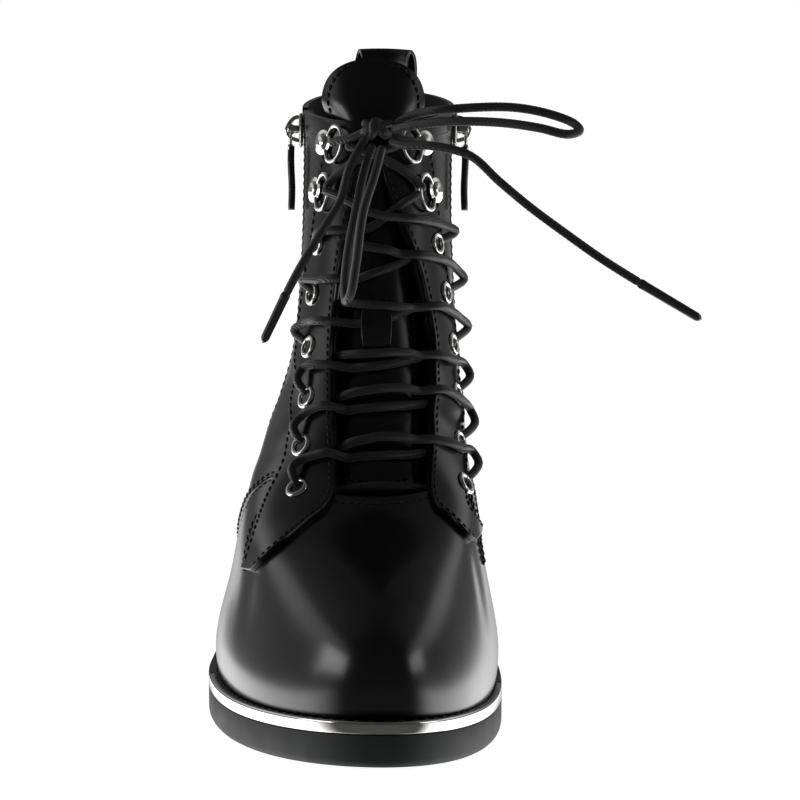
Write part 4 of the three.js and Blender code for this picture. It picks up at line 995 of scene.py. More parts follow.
class BOOT_OT_upper(bpy.types.Operator):
    """Makes the leather upper with its throat and zip openings, lined inside"""
    bl_idname = "boot.upper"
    bl_label = "Upper"

    def execute(self, context):
        rings = np.unique(np.concatenate([np.linspace(0, TOP, 118), [VAMP_RING, ZIP_RING[1], ZIP_RING[-1]]]))
        columns, kinds = [], []
        for side in (1, -1):
            z = form(rings, 0.0)[:, 2]
            edge = np.zeros(len(rings))
            for _ in range(4):
                edge = np.abs(angle_for(rings, side * np.maximum(throat_edge(z, side), 0.4)))
                z = form(rings, side * edge)[:, 2]
            base = np.interp(VAMP_RING, rings, edge)
            edge = np.where(rings >= VAMP_RING - 1e-9, edge, base)
            half = ZIP_SLOT / 2
            fore, rear = (np.abs(angle_along(rings, side, lambda h, d=d: zip_along(h) + d)) for d in (-half, half))
            low = rings < ZIP_RING[side]
            fore = np.where(low, np.interp(ZIP_RING[side], rings, fore), fore)
            rear = np.where(low, np.interp(ZIP_RING[side], rings, rear), rear)
            spans = [(0 * edge, edge, 12, "throat"), (edge, fore, 46, ""), (fore, rear, 5, "zip"),
                     (rear, 0 * edge + math.pi, 44, "")]
            line, kind = [], []
            for a, b, count, what in spans:
                for i in range(count):
                    line.append(side * lerp(a, b, i / count))
                    kind.append((what, side))
            columns.append((line, kind))
        lateral, medial = columns
        angles = np.stack(lateral[0] + [0 * rings + math.pi] + medial[0][:0:-1], 1)
        kinds = lateral[1] + medial[1][::-1]
        points = on_leather(rings[:, None] + 0 * angles, angles)
        normals = form_normal(rings[:, None] + 0 * angles, angles)
        collar = ease((rings - (TOP - 0.45)) / 0.45)[:, None, None]
        points = points + normals * collar * 0.5
        low_ring = (rings[:-1] + rings[1:]) / 2
        keep = np.ones((len(rings) - 1, angles.shape[1]), bool)
        for j, (what, side) in enumerate(kinds):
            if what == "throat":
                keep[:, j] = low_ring < VAMP_RING
            elif what == "zip":
                keep[:, j] = low_ring < ZIP_RING[side]
        flat, flat_normals = points.reshape(-1, 3), normals.reshape(-1, 3)
        faces = outward(flat, grid_faces(len(rings), angles.shape[1], True, keep), flat_normals)
        obj = piece("upper", flat, faces, [leather(), lining()], "leather", nodes=["upper"])
        thicken(obj, UPPER_WALL, 0.7, inner_material=1)
        return {"FINISHED"}


def eyestay_rows(side):
    """Ring and angle on the throat's side, then on the outer side, of each row of an eyestay."""
    up, near, up_out, far, along = EYESTAY[side].T
    ring, angle = place_at(side * near * BALL_WIDTH, up * COLLAR_HEIGHT)
    ring_side, angle_side = side_at(side, along * SOLE_LENGTH, up_out * COLLAR_HEIGHT)
    ring_far, angle_far = place_at(side * far * BALL_WIDTH, up_out * COLLAR_HEIGHT)
    first = np.abs(angle_far) < np.abs(angle_side)
    outer = np.where(first, angle_far, angle_side)
    inner = side * np.minimum(np.abs(angle), np.abs(outer) - 0.05)
    return np.stack([ring, inner, np.where(first, ring_far, ring_side), outer], -1)


EYESTAY_ROWS = {side: eyestay_rows(side) for side in (1, -1)}


def strip_points(side, across, share):
    """Rings and angles on an eyestay: across from the throat's side out, share from the collar down."""
    rows = EYESTAY_ROWS[side]
    at = np.arange(len(rows), dtype=float)
    ring, angle, ring_far, angle_far = np.moveaxis(between(at, rows, np.asarray(share) * at[-1]), -1, 0)
    return np.minimum(lerp(ring, ring_far, across), TOP), lerp(angle, angle_far, across)


class BOOT_OT_eyestays(bpy.types.Operator):
    """Makes the two raised lacing facings with their stitched edges"""
    bl_idname = "boot.eyestays"
    bl_label = "Eyestays"

    def execute(self, context):
        seams = []
        for name, side in SIDES:
            share = np.linspace(0, 1, 120)
            across = np.linspace(0, 1, 22)
            s, a = np.meshgrid(share, across, indexing="ij")
            ring, angle = strip_points(side, a, s)
            top = form(np.full(len(across), float(TOP)), angle[0])
            points = on_leather(ring, angle, FACE)
            normals = form_normal(ring, angle)
            flat_normals = normals.reshape(-1, 3)
            rise = 1 - ease(share / 0.05)
            points[..., 2] += (rise[:, None] * np.clip(top[:, 2] - 0.6 - form(ring, angle)[0, :, 2], 0, 12)[None])
            flat = points.reshape(-1, 3)
            faces = outward(flat, grid_faces(len(share), len(across)), flat_normals)
            obj = piece(f"eyestay_{name}", flat, faces, [leather()], "leather", nodes=[f"eyestay_{name}"])
            thicken(obj, EYESTAY_THICKNESS + GAP, 0.55, even=False)
            width = np.linalg.norm(points[:, -1] - points[:, 0], axis=1)
            for inset, start, stop in ((1.7, 0.03, 0.985), (-1.7, 0.03, 0.97)):
                at = np.clip(inset / width, -0.45, 0.45)
                at = np.where(at < 0, 1 + at, at)
                pick = (share > start) & (share < stop)
                line_ring, line_angle = strip_points(side, at[pick], share[pick])
                seams.append(seam(line_ring, line_angle, FACE + 0.12))
        piece("eyestay_stitches", *joined(seams), [thread()], "leather")
        return {"FINISHED"}


# Seams on the sides, seen from the side: distance from the toe and height.
WING_SEAM = [(86, 52), (93, 60), (100, 68.5), (106, 75.5), (111, 79), (116, 78.5), (121, 74), (128, 67), (137, 58),
             (147, 50), (157, 44.5), (165, 42)]
# The inner wing starts this much farther back than the outer one.
INNER_WING_BACK = 11
COUNTER_SEAM = [(170, 43), (178, 60), (190, 76), (205, 87), (222, 94), (238, 97), (250, 98)]


class BOOT_OT_seams(bpy.types.Operator):
    """Lays the folded seams over the sides, the back strip and the collar's stitches"""
    bl_idname = "boot.seams"
    bl_label = "Side seams"

    def band(self, rings, angles, width, rise):
        """A narrow folded strip of leather along a line on the form."""
        centre = form(rings, angles)
        normal = form_normal(rings, angles)
        across = unit(np.cross(np.gradient(centre, axis=0), normal))
        w = np.linspace(-1, 1, 9)
        height = rise * (1 - np.abs(w) ** 4) - 0.1
        points = on_leather(rings, angles)[:, None] + across[:, None] * (w * width / 2)[None, :, None] \
            + normal[:, None] * height[None, :, None]
        flat = points.reshape(-1, 3)
        faces = outward(flat, grid_faces(len(rings), len(w)), np.repeat(normal, len(w), 0))
        return flat, faces.tolist(), across

    def execute(self, context):
        bands, seams = [], []
        for _, side in SIDES:
            for line, width, rise, rows in ((WING_SEAM, 3.4, 0.75, (-0.9, 0.9)), (COUNTER_SEAM, 3.0, 0.6, (-0.8, 0.8))):
                path = path_through([(a, h, 0) for a, h in line], 1.2)
                back = 0 if side > 0 else INNER_WING_BACK * (1 - ease((path[:, 0] - 100) / 45))
                ring, angle = side_at(side, path[:, 0] + back, path[:, 1])
                flat, faces, across = self.band(ring, angle, width, rise)
                bands.append((flat, faces))
                for shift in rows:
                    seams.append(stitches(on_leather(ring, angle, rise + 0.05) + across * shift,
                                          form_normal(ring, angle)))
            rings = np.linspace(0.5, TOP - 0.05, 90)
            for shift in (7.5, 9.6):
                angle = angle_for(rings, side * shift, back=True)
                seams.append(seam(rings, angle, 0.1 if shift > 8 else 0.75))
        rings = np.linspace(0.15, TOP - 0.03, 110)
        distance = np.linspace(-8.6, 8.6, 19)
        r, d = np.meshgrid(rings, distance, indexing="ij")
        angle = angle_for(r, d, back=True)
        height = 0.7 * (1 - np.abs(d / 8.6) ** 12) - 0.08
        points = on_leather(r, angle, height).reshape(-1, 3)
        faces = outward(points, grid_faces(len(rings), len(distance)), form_normal(r, angle).reshape(-1, 3))
        bands.append((points, faces.tolist()))
        piece("leather_seams", *joined(bands), [leather()], "leather")
        ring = np.full(120, TOP - 0.2)
        for side in (1, -1):
            start = abs(float(angle_for(TOP - 0.2, side * 20)))
            zip_angle = abs(float(angle_along(np.array(TOP - 0.2), side, zip_along)))
            gap = 6.5 / 35
            for low, high in ((start, zip_angle - gap), (zip_angle + gap, math.pi - 0.3)):
                angle = side * np.linspace(low, high, 120)
                seams.append(seam(ring, angle, 0.1))
            rings = np.linspace(ZIP_RING[side] + 0.05, TOP - 0.2, 120)
            for shift in (-6.2, 6.2):
                angle = angle_along(rings, side, lambda h: zip_along(h) + shift)
                seams.append(seam(rings, angle, -0.12))
        angle = np.linspace(-0.42, 0.42, 60)
        seams.append(seam(np.full(60, VAMP_RING - 0.1), angle, 0.1))
        piece("seam_stitches", *joined(seams), [thread()], "leather")
        return {"FINISHED"}


class BOOT_OT_tongue(bpy.types.Operator):
    """Makes the padded tongue, its edge stitches and the lace keeper"""
    bl_idname = "boot.tongue"
    bl_label = "Tongue"

    @staticmethod
    def half(ring):
        tip = np.clip((ring - (TONGUE_TOP - TONGUE_CORNER)) / TONGUE_CORNER, 0, 1)
        return (TONGUE_WIDTH / 2) * np.maximum(1 - tip ** 3.5, 0.12) ** 0.5

    def point(self, ring, distance, out):
        """A point on the tongue, which widens and leans to the outer side over the collar."""
        angle = angle_for(ring, distance)
        flare = ease((ring - TOP + TONGUE_FLARE / 2) / TONGUE_FLARE)
        place = off_form(ring, angle, tongue_face(ring) + out)
        place[..., 0] += (place[..., 0] - CENTRE_X) * TONGUE_SPREAD * flare - TONGUE_LEAN * flare
        return place, form_normal(ring, angle)

    def execute(self, context):
        t = np.linspace(0, 1, 130)
        rings = TONGUE_LOW + (TONGUE_TOP - TONGUE_LOW) * (1 - (1 - t) ** 1.25)
        across = np.sin(np.linspace(-math.pi / 2, math.pi / 2, 31))
        r, w = np.meshgrid(rings, across, indexing="ij")
        distance = w * self.half(r) + 1e-6
        puff = 0.9 * (1 - np.abs(w) ** 3) * ease((TONGUE_TOP - r) / 0.5)
        z = form(r, 0.0 * r)[..., 2]
        for height, deep, lean in ((84, 0.7, 2), (93, 0.5, -2), (104, 0.4, 3), (152, 0.35, -3), (165, 0.3, 2)):
            puff = puff - deep * np.exp(-(((z - height - lean * w) / 2.2) ** 2)) * (1 - w**2)
        points, normal = self.point(r, distance, puff - 0.9)
        flat = points.reshape(-1, 3)
        faces = outward(flat, grid_faces(len(rings), len(across)), normal.reshape(-1, 3))
        obj = piece("tongue", flat, faces, [leather(), lining()], "leather", nodes=["tongue"])
        thicken(obj, TONGUE_THICKNESS - 0.6, 0.8, inner_material=1)
        rows = rings[(rings > VAMP_RING + 0.2) & (rings < TONGUE_TOP - 0.07)]
        inset = np.maximum(self.half(rows) - 2.4, 0.5)
        places, normals = self.point(np.concatenate([rows, rows[::-1]]), np.concatenate([inset, -inset[::-1]]), -0.3)
        seams = [stitches(places, normals)]
        places, normals = self.point(np.full(30, VAMP_RING + 0.28), np.linspace(-13, 16, 30), 0.05)
        seams.append(stitches(places, normals))
        self.keeper(seams)
        piece("tongue_stitches", *joined(seams), [thread()], "leather")
        return {"FINISHED"}

    def keeper(self, seams):
        t = np.linspace(0, 1, 28)
        d = np.linspace(-KEEPER_WIDTH / 2, KEEPER_WIDTH / 2, 9)
        up, across = np.meshgrid(t, d, indexing="ij")
        ring, angle = place_at(across, KEEPER_HEIGHT + KEEPER_LENGTH * up)
        rise = 0.6 + 4.6 * np.sin(math.pi * np.clip(up, 0, 1)) ** 0.55
        normal = form_normal(ring, angle)
        points = form(ring, angle) + normal * (tongue_face(ring) + rise)[..., None]
        flat = points.reshape(-1, 3)
        faces = outward(flat, grid_faces(len(t), len(d)), normal.reshape(-1, 3))
        obj = piece("lace_keeper", flat, faces, [leather()], "leather", nodes=["lace_keeper"])
        thicken(obj, 1.2, 0.4)
        for row in (1, -2):
            seams.append(stitches(points[row] + normal[row] * 0.05, normal[row], radius=0.28))


class BOOT_OT_pull_loop(bpy.types.Operator):
    """Makes the pull loop at the back of the collar"""
    bl_idname = "boot.pull_loop"
    bl_label = "Pull loop"

    def execute(self, context):
        outside, inside = GAP + 1.4, -(UPPER_WALL + 0.4)
        middle = (outside + inside) / 2
        fold = [(-LOOP_DROP, outside), (-10, outside), (0, outside + 0.2), (LOOP_RISE - 7, outside + 0.9),
                (LOOP_RISE - 2, outside - 0.1), (LOOP_RISE - 0.1, middle), (LOOP_RISE - 2, inside + 0.3),
                (LOOP_RISE - 7, inside - 0.6), (0, inside), (-LOOP_DROP, inside)]
        shape = path_through([(up, out, 0) for up, out in fold], 0.9)
        rise = float(form(TOP, math.pi)[2] - form(TOP - 1, math.pi)[2])
        d = np.linspace(-LOOP_WIDTH / 2, LOOP_WIDTH / 2, 13)
        ring = (TOP + shape[:, 0] / rise)[:, None] + 0 * d[None]
        angle = angle_for(ring, d[None] - LOOP_OFFSET + 0 * ring, back=True)
        points = off_form(ring, angle, shape[:, 1][:, None] + 0 * ring)
        normal = form_normal(ring, angle)
        flat = points.reshape(-1, 3)
        faces = grid_faces(len(shape), len(d))
        a, b, c = (flat[faces[0, i]] for i in (0, 1, 3))
        if np.dot(np.cross(b - a, c - a), normal[0, 0]) < 0:
            faces = faces[:, ::-1]
        obj = piece("pull_loop", flat, faces, [leather()], "leather", nodes=["pull_loop"])
        thicken(obj, 1.2, 0.45)
        seams = []
        for column in (1, -2):
            pick = shape[:, 0] < 3
            pick &= np.arange(len(shape)) < len(shape) / 2
            raised = points[pick, column] + normal[pick, column] * 0.05
            seams.append(stitches(raised, normal[pick, column], radius=0.28))
        piece("loop_stitches", *joined(seams), [thread()], "leather")
        return {"FINISHED"}


# The sole.

AROUND = np.linspace(0, 2 * math.pi, 301)[:-1]


def sole_level(inset, height):
    x, along = sole_point(AROUND, inset)
    return np.stack([x, along - SOLE_LENGTH / 2, height(along) + 0 * along], -1)


def loft(levels):
    """Points and faces of a solid through level outlines, closed by strips from side to side."""
    points = np.vstack(levels)
    n = len(AROUND)
    faces = grid_faces(len(levels), n, closed=True).tolist()
    last = (len(levels) - 1) * n
    for start, turn in ((0, 1), (last, -1)):
        cap = [[0, 1, n - 1]]
        cap += [[i, i + 1, n - i - 1, n - i] for i in range(1, n // 2 - 1)]
        cap.append([n // 2 - 1, n // 2, n // 2 + 1])
        faces += [[start + i for i in (f if turn < 0 else f[::-1])] for f in cap]
    return points, faces


def edge_round(along):
    return lerp(2.5, 0.6, ease((along / SOLE_LENGTH - 0.42) / 0.32))


def groove_blocks(start, stop, bottom):
    parts = []
    y = start
    while y + GROOVE_WIDTH < stop:
        depth = float(bottom(y + GROOVE_WIDTH / 2)) + GROOVE_DEPTH
        low = (-BALL_WIDTH, y - SOLE_LENGTH / 2, -3)
        high = (BALL_WIDTH, y + GROOVE_WIDTH - SOLE_LENGTH / 2, depth)
        parts.append(round_block(low, high, 0.5, 1))
        y += GROOVE_PITCH
    return parts


class BOOT_OT_sole(bpy.types.Operator):
    """Makes the lugged outsole and heel"""
    bl_idname = "boot.sole"
    bl_label = "Sole and heel"

    def carve(self, obj, blocks, limit):
        cut_points, cut_faces = joined(blocks)
        cutter = self.plain("grooves", cut_points, cut_faces)
        inner = self.plain("groove_limit", *limit)
        self.combine(cutter, inner, "INTERSECT")
        self.combine(obj, cutter, "DIFFERENCE")
        for tool in (cutter, inner):
            bpy.data.objects.remove(tool)
        obj.data.set_sharp_from_angle(angle=math.radians(38))

    @staticmethod
    def combine(target, tool, kind):
        cut = target.modifiers.new("cut", "BOOLEAN")
        cut.operation = kind
        cut.solver = "EXACT"
        cut.object = tool
        with bpy.context.temp_override(object=target, active_object=target, selected_objects=[target]):
            bpy.ops.object.modifier_apply(modifier=cut.name)

    @staticmethod
    def plain(name, points, faces):
        mesh = bpy.data.meshes.new(name)
        mesh.from_pydata((np.asarray(points) * MM).tolist(), [], [list(map(int, f)) for f in faces])
        faces_outward(mesh)
        obj = bpy.data.objects.new(name, mesh)
        bpy.context.scene.collection.objects.link(obj)
        bpy.context.view_layer.update()
        return obj

    def execute(self, context):
        levels = []
        for turn in np.linspace(0, math.pi / 2, 6):
            r = edge_round(sole_point(AROUND, 0)[1])
            levels.append(sole_level(r * (1 - math.sin(turn)),
                                     lambda y, c=math.cos(turn): tread_height(y) + edge_round(y) * (1 - c)))
        levels.append(sole_level(0, lambda y: sole_top(y) - 0.5))
        levels.append(sole_level(0.15, lambda y: sole_top(y) - 0.15))
        levels.append(sole_level(0.5, sole_top))
        limit = loft([sole_level(11, lambda y: y * 0 - 4), sole_level(11, lambda y: y * 0 + HEEL_HEIGHT)])
        outsole = self.solid("outsole", loft(levels), "outsole")
        self.carve(outsole, groove_blocks(15, 0.42 * SOLE_LENGTH, tread_height), limit)
        rounding = [(0.7, 0), (0.2, 0.2), (0, 0.7)]
        body = [sole_level(HEEL_TAPER + inset, lambda y, h=h: y * 0 + h) for inset, h in rounding]
        for t in (0.33, 0.66, 1.0):
            body.append(sole_level(lerp(HEEL_TAPER, GAP, t),
                                   lambda y, t=t: lerp(0.7, np.maximum(tread_height(y) - 0.1, 1.4), t)))
        heel = self.solid("heel", loft(body), "heel")
        front = round_block((-BALL_WIDTH, -SOLE_LENGTH, -5), (BALL_WIDTH, SOLE_LENGTH / 2 - HEEL_LENGTH, 40), 0.5, 1)
        knife = self.plain("breast", *front)
        self.combine(heel, knife, "DIFFERENCE")
        bpy.data.objects.remove(knife)
        breast = SOLE_LENGTH - HEEL_LENGTH
        self.carve(heel, groove_blocks(breast + 11, SOLE_LENGTH - 11, lambda y: 0), limit)
        return {"FINISHED"}

    def solid(self, name, shape, node):
        points, faces = shape
        obj = piece(name, points, faces, [rubber()], "sole_rubber", nodes=[node])
        faces_outward(obj.data)
        return obj


def angle_of(along):
    return math.acos(1 - 2 * along / SOLE_LENGTH)


def on_edge(angles, inset, up):
    """Points over the sole's edge for each angle, at insets and heights over the sole's top."""
    angles, inset, up = np.broadcast_arrays(np.asarray(angles, float)[:, None], inset, up)
    x, along = sole_point(angles, inset)
    return np.stack([x, along - SOLE_LENGTH / 2, sole_top(along) + up], -1)


class BOOT_OT_welt(bpy.types.Operator):
    """Makes the stitched welt and the metal rand round the toe"""
    bl_idname = "boot.welt"
    bl_label = "Welt and rand"

    def execute(self, context):
        angles = np.where(AROUND > math.pi, AROUND - 2 * math.pi, AROUND)
        under_rand = (angles < angle_of(RAND_LENGTH + 0.6)) & (angles > -angle_of(RAND_INNER_LENGTH + 0.6))
        under_rand = under_rand.astype(float)[:, None]
        inset = np.array([[0, 0, 0, 0.15, 0.6, 2.6, 2.9, 6, WELT_WIDTH, WELT_WIDTH, 6]])
        up = np.array([[0.02, 1.5, 3.4, 3.8, *[WELT_THICKNESS] * 5, 0.02, 0.02]])
        outer = np.array([[1, 1, 1, 1, 1, 0, 0, 0, 0, 0, 0]])
        section_in = inset + under_rand * outer * np.array([[1.1, 1.1, 1.1, 1.1, 1.5, 0, 0, 0, 0, 0, 0]])
        section_up = up - under_rand * outer * np.array([[0, 0, 1.0, 1.0, 1.0, 0, 0, 0, 0, 0, 0]])
        points = on_edge(AROUND, section_in, section_up)
        n = inset.shape[1]
        flat = points.reshape(-1, 3)
        quads = []
        for i in range(len(AROUND)):
            k = (i + 1) % len(AROUND)
            quads += [[i * n + j, k * n + j, k * n + (j + 1) % n, i * n + (j + 1) % n] for j in range(n)]
        obj = piece("welt", flat, quads, [welt_black()], "welt_black", nodes=["welt"], sharp=50)
        faces_outward(obj.data)
        around = np.linspace(-math.pi, math.pi, 400)
        line = on_edge(around, np.array([[2.75]]), np.array([[WELT_THICKNESS + 0.02]]))[:, 0]
        row = stitches(line, np.broadcast_to([0.0, 0, 1], line.shape), length=3.2, radius=0.34, pitch=4.6)
        piece("welt_stitches", *row,
              [finish("welt stitching", (0.03, 0.03, 0.031), 0.5, bumps=[("weave", 2500, 0.06, 0.4)])], "welt_black")
        self.rand()
        return {"FINISHED"}

    def rand(self):
        section = np.array([(0, 0.25), (-0.12, 0.45), (-0.12, 3.1), (-0.1, 3.45), (0.02, 3.8), (0.25, 4.05),
                            (0.6, 4.16), (1.0, 4.2), (1.6, 4.2), (2.0, 4.12), (2.15, 3.95), (2.15, 3.4), (0.9, 3.3),
                            (0.85, 0.3)])
        angles = np.linspace(-angle_of(RAND_INNER_LENGTH), angle_of(RAND_LENGTH), 200)
        points = on_edge(angles, section[None, :, 0], section[None, :, 1])
        n = len(section)
        faces = [[i * n + j, (i + 1) * n + j, (i + 1) * n + (j + 1) % n, i * n + (j + 1) % n]
                 for i in range(len(angles) - 1) for j in range(n)]
        faces += [list(range(n)), list(range(len(angles) * n - 1, (len(angles) - 1) * n - 1, -1))]
        obj = piece("toe_rand", points.reshape(-1, 3), faces, [bright_metal()], "bright_steel",
                    nodes=["toe_rand"], sharp=60)
        faces_outward(obj.data)


class BOOT_OT_insole(bpy.types.Operator):
    """Gives the insole its lining"""
    bl_idname = "boot.insole"
    bl_label = "Insole"

    def execute(self, context):
        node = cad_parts["insole"]
        node.data.materials.clear()
        node.data.materials.append(lining())
        return {"FINISHED"}


# Metal pieces and zips.

def row_frame(row, side, out):
    up, lateral, medial = LACE_ROWS[row]
    ring, angle = place_at(side * (lateral if side > 0 else medial) * BALL_WIDTH, up * COLLAR_HEIGHT)
    normal = form_normal(ring, angle)
    inward = unit(form(ring, angle - side * 0.02) - form(ring, angle))
    upward = unit(np.cross(normal, inward))
    upward = upward if upward[2] > 0 else -upward
    inward = inward - normal * np.dot(inward, normal)
    return off_form(ring, angle, out), unit(inward), upward, normal


class BOOT_OT_eyelets(bpy.types.Operator):
    """Makes the twelve eyelets and the four lacing hooks"""
    bl_idname = "boot.eyelets"
    bl_label = "Eyelets and hooks"

    def execute(self, context):
        turn = np.linspace(0, math.pi, 9)
        roll = [(3.2 + 0.95 * math.cos(t), 0.05 + 0.95 * math.sin(t)) for t in turn]
        ring = lathe([*roll, (2.2, -1.5), (2.2, -4.2), (2.6, -4.2), (2.6, -0.4), (3.6, -0.3)])
        eyelets, names = [], []
        hooks, hook_names = [], []
        for name, side in SIDES:
            for row in range(len(LACE_ROWS)):
                at = row_frame(row, side, FACE)
                if row < HOOK_ROW:
                    eyelets.append(placed(ring, at))
                    names.append(f"eyelet_{name}_{row + 1}")
                else:
                    hooks += [placed(part, at) for part in self.hook_parts()]
                    hook_names.append(f"hook_{name}_{row + 1}")
        self.metal("eyelets", eyelets, names)
        self.metal("lace_hooks", hooks, hook_names)
        return {"FINISHED"}

    @staticmethod
    def metal(name, parts, nodes, slot="bright_steel", body=BOOT):
        obj = piece(name, *joined(parts), [bright_metal()], slot, body=body, nodes=nodes, sharp=50)
        faces_outward(obj.data)
        obj.data.set_sharp_from_angle(angle=math.radians(50))
        return obj

    @staticmethod
    def hook_parts():
        disc = lathe([(0.01, 0.2), (4.2, 0.2), (4.5, 0.5), (4.4, 0.95), (3.9, 1.15), (3.2, 1.2), (3.0, 1.35),
                      (2.7, 1.75), (2.1, 2.15), (1.1, 2.4), (0.01, 2.5)])
        turn = np.linspace(-math.pi * 0.62, math.pi * 0.62, 34)
        bow = np.stack([5.6 + 5.0 * np.cos(turn), 6.2 * np.sin(turn), 1.5 + 0.1 * np.cos(turn)], -1)
        tail = np.array([[0.8, -2.2, 1.0]])
        head = np.array([[0.8, 2.2, 1.0]])
        wire = path_through(np.vstack([tail, bow[::3], head]), 0.5)
        points, faces = disc
        return [(points - np.array([1.4, 0, 0]), faces), tube(wire, 0.72, 12)]


def zip_frame(side, height=SLIDER_HEIGHT, out=0.6):
    ring = ring_near(lambda r: form(r, angle_along(np.array(r), side, zip_along))[2], height)
    angle = float(angle_along(np.array(ring), side, zip_along))
    above = float(angle_along(np.array(ring + 0.1), side, zip_along))
    normal = form_normal(ring, angle)
    line = form(ring + 0.1, above) - form(ring, angle)
    across = unit(np.cross(line, normal))
    return off_form(ring, angle, out), across, np.cross(normal, across), normal


class BOOT_OT_zips(bpy.types.Operator):
    """Makes the zip tapes, teeth and sliders on both sides"""
    bl_idname = "boot.zips"
    bl_label = "Zips"

    def execute(self, context):
        for name, side in SIDES:
            rings = np.linspace(ZIP_RING[side] - 0.3, TOP - 0.02, 110)
            across = np.linspace(-10, 10, 15)
            r = np.meshgrid(rings, across, indexing="ij")[0]
            angle = np.stack([angle_along(rings, side, lambda h, d=d: zip_along(h) + d) for d in across], 1)
            normal = form_normal(r, angle)
            points = (form(r, angle) - normal * (UPPER_WALL + 0.25)).reshape(-1, 3)
            faces = outward(points, grid_faces(len(rings), len(across)), normal.reshape(-1, 3))
            tape = piece(f"zip_tape_{name}", points, faces, [webbing()], "webbing", nodes=[f"zip_{name}"])
            thicken(tape, 0.8, 0.2, segments=2)
            self.teeth(name, side)
            self.slider(name, side)
        return {"FINISHED"}

    def teeth(self, name, side):
        fine = np.linspace(ZIP_RING[side] + 0.06, TOP - 0.03, 300)
        line = form(fine, angle_along(fine, side, zip_along))
        pitch = settings().tooth_pitch / MM / 2
        run = resample(np.hstack([line, fine[:, None]]), pitch)
        parts = []
        for i, (x, y, z, ring) in enumerate(run[:-1]):
            angle = float(angle_along(np.array(ring), side, zip_along))
            normal = form_normal(ring, angle)
            up = unit(run[i + 1, :3] - run[i, :3])
            across = unit(np.cross(up, normal))
            spread = 1.7 * ease((z - SLIDER_HEIGHT) / 9)
            shift = (1 if i % 2 else -1) * (0.85 + spread)
            tooth = round_block((-1.75, -0.5, -0.75), (1.75, 0.5, 0.75), 0.3, 2)
            at = (np.array([x, y, z]) + across * shift - normal * 1.05, across, up, normal)
            parts.append(placed(tooth, at))
        BOOT_OT_eyelets.metal(f"zip_teeth_{name}", parts, [])

    def slider(self, name, side):
        at = zip_frame(side)
        body = [round_block((-3.4, -5.5, -0.2), (3.4, 5.5, 1.2), 0.6, 3),
                round_block((-2.6, -6.4, -0.1), (2.6, -4, 1.0), 0.5, 2)]
        bridge = path_through([(0, 4.6, 0.9), (0, 3.8, 3.2), (0, 0.4, 5.4), (0, -2.6, 4.6), (0, -4.2, 1.0)], 0.4)
        body.append(tube(bridge, 0.6, 12, flat=1.3))
        body.append(tube(np.linspace((-2.9, 0, PIN_OUT), (2.9, 0, PIN_OUT), 12), 0.75, 12))
        for s in (-1, 1):
            near, far = sorted((s * 2.0, s * 3.2))
            body.append(round_block((near, -1.1, 1.2), (far, 1.1, PIN_OUT + 1.1), 0.4, 2))
        BOOT_OT_eyelets.metal(f"slider_{name}", [placed(part, at) for part in body], [f"slider_{name}"])


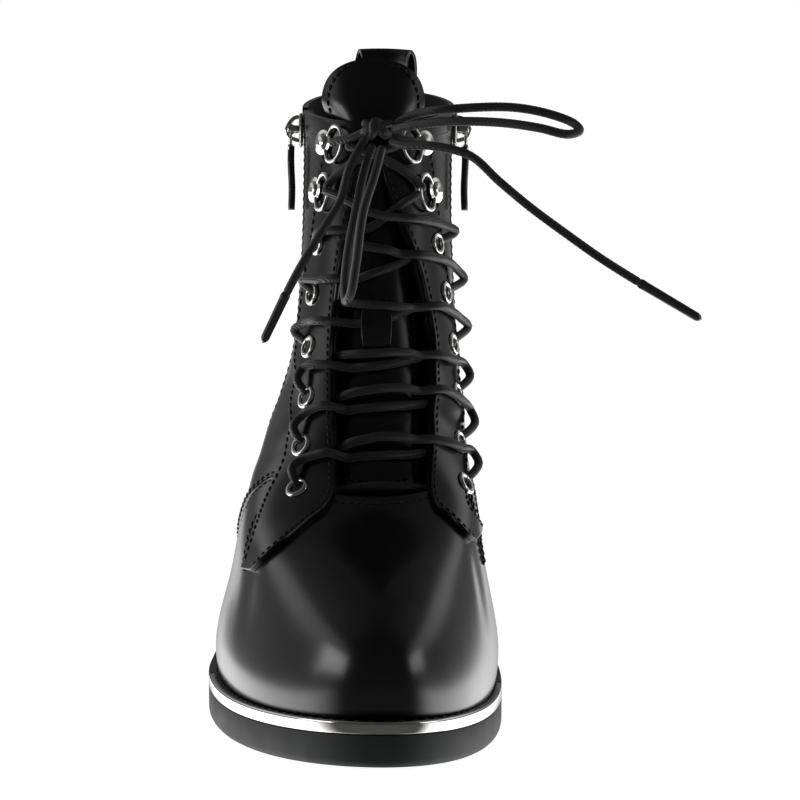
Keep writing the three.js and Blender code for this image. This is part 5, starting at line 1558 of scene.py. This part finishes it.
class BOOT_OT_pulls(bpy.types.Operator):
    """Makes the two zip pulls, each a metal eye with a leather tab"""
    bl_idname = "boot.pulls"
    bl_label = "Zip pulls"

    def execute(self, context):
        for name, side in SIDES:
            point, across, up, out = zip_frame(side)
            pin = point + out * PIN_OUT
            lean = math.atan2(min(out[2], 0), up[2])
            down_up = up * math.cos(lean) + out * math.sin(lean)
            at = (pin, across, down_up, np.cross(across, down_up))
            turn = np.linspace(0, 2 * math.pi, 37)[:-1, None]
            eye = np.hstack([0 * turn, 1.55 * np.cos(turn), 1.55 * np.sin(turn)])
            link = np.hstack([1.25 * np.sin(turn), -3.6 + 2.3 * np.cos(turn), 0 * turn])
            parts = [tube(np.vstack([eye, eye[:2]]), 0.5, 10, round_ends=False),
                     tube(np.vstack([link, link[:2]]), 0.55, 10, round_ends=False),
                     round_block((-2.0, -7.6, -0.9), (2.0, -5.4, 0.9), 0.4, 2)]
            body = f"{name}_pull"
            BOOT_OT_eyelets.metal(f"pull_eye_{name}", [placed(p, at) for p in parts], [], body=body)
            t = np.linspace(0, 1, 30)[:, None]
            w = np.linspace(-1, 1, 9)[None]
            half = 2.5 - 0.5 * np.exp(-((t - 0.05) / 0.08) ** 2) - 0.9 * ease((t - 0.93) / 0.07)
            x = w * half
            y = -6.2 - 22.6 * t + 0 * w
            z = 0.95 * (1 - 0.5 * np.abs(w) ** 3) + 0.15 * np.sin(7 * t)
            front = np.stack([x, y, z], -1)
            back_face = np.stack([x, y, z - 1.9], -1)[:, ::-1]
            loop = np.concatenate([front, back_face], 1)
            points = loop.reshape(-1, 3)
            faces = grid_faces(30, 18, closed=True).tolist() + [list(range(18))[::-1], list(range(29 * 18, 30 * 18))]
            moved, faces = placed((points, faces), at)
            tab = piece(f"pull_{name}", moved, faces, [leather()], "leather", body=body,
                        nodes=[f"pull_{name}"], sharp=70)
            faces_outward(tab.data)
        return {"FINISHED"}


class BOOT_PT_panel(bpy.types.Panel):
    """Lists the boot's steps and settings"""
    bl_idname = "BOOT_PT_panel"
    bl_label = "Lace-up boot"
    bl_space_type = "VIEW_3D"
    bl_region_type = "UI"
    bl_category = "Boot"

    def draw(self, context):
        for name in BootSettings.__annotations__:
            self.layout.prop(context.scene.boot_looks, name)
        for operator in OPERATORS:
            self.layout.operator(operator.bl_idname)


OPERATORS = (
    BOOT_OT_stage, BOOT_OT_free_lace, BOOT_OT_lacing, BOOT_OT_upper, BOOT_OT_eyestays, BOOT_OT_seams, BOOT_OT_tongue,
    BOOT_OT_pull_loop, BOOT_OT_sole, BOOT_OT_welt, BOOT_OT_insole, BOOT_OT_eyelets, BOOT_OT_zips, BOOT_OT_pulls,
)
CLASSES = (BootSettings, *OPERATORS, BOOT_PT_panel)


def register():
    for cls in CLASSES:
        bpy.utils.register_class(cls)
    bpy.types.Scene.boot_looks = bpy.props.PointerProperty(type=BootSettings)


def unregister():
    del bpy.types.Scene.boot_looks
    for cls in reversed(CLASSES):
        bpy.utils.unregister_class(cls)


def main():
    register()
    for operator in OPERATORS:
        group, name = operator.bl_idname.split(".")
        getattr(getattr(bpy.ops, group), name)()


if __name__ == "__main__":
    main()
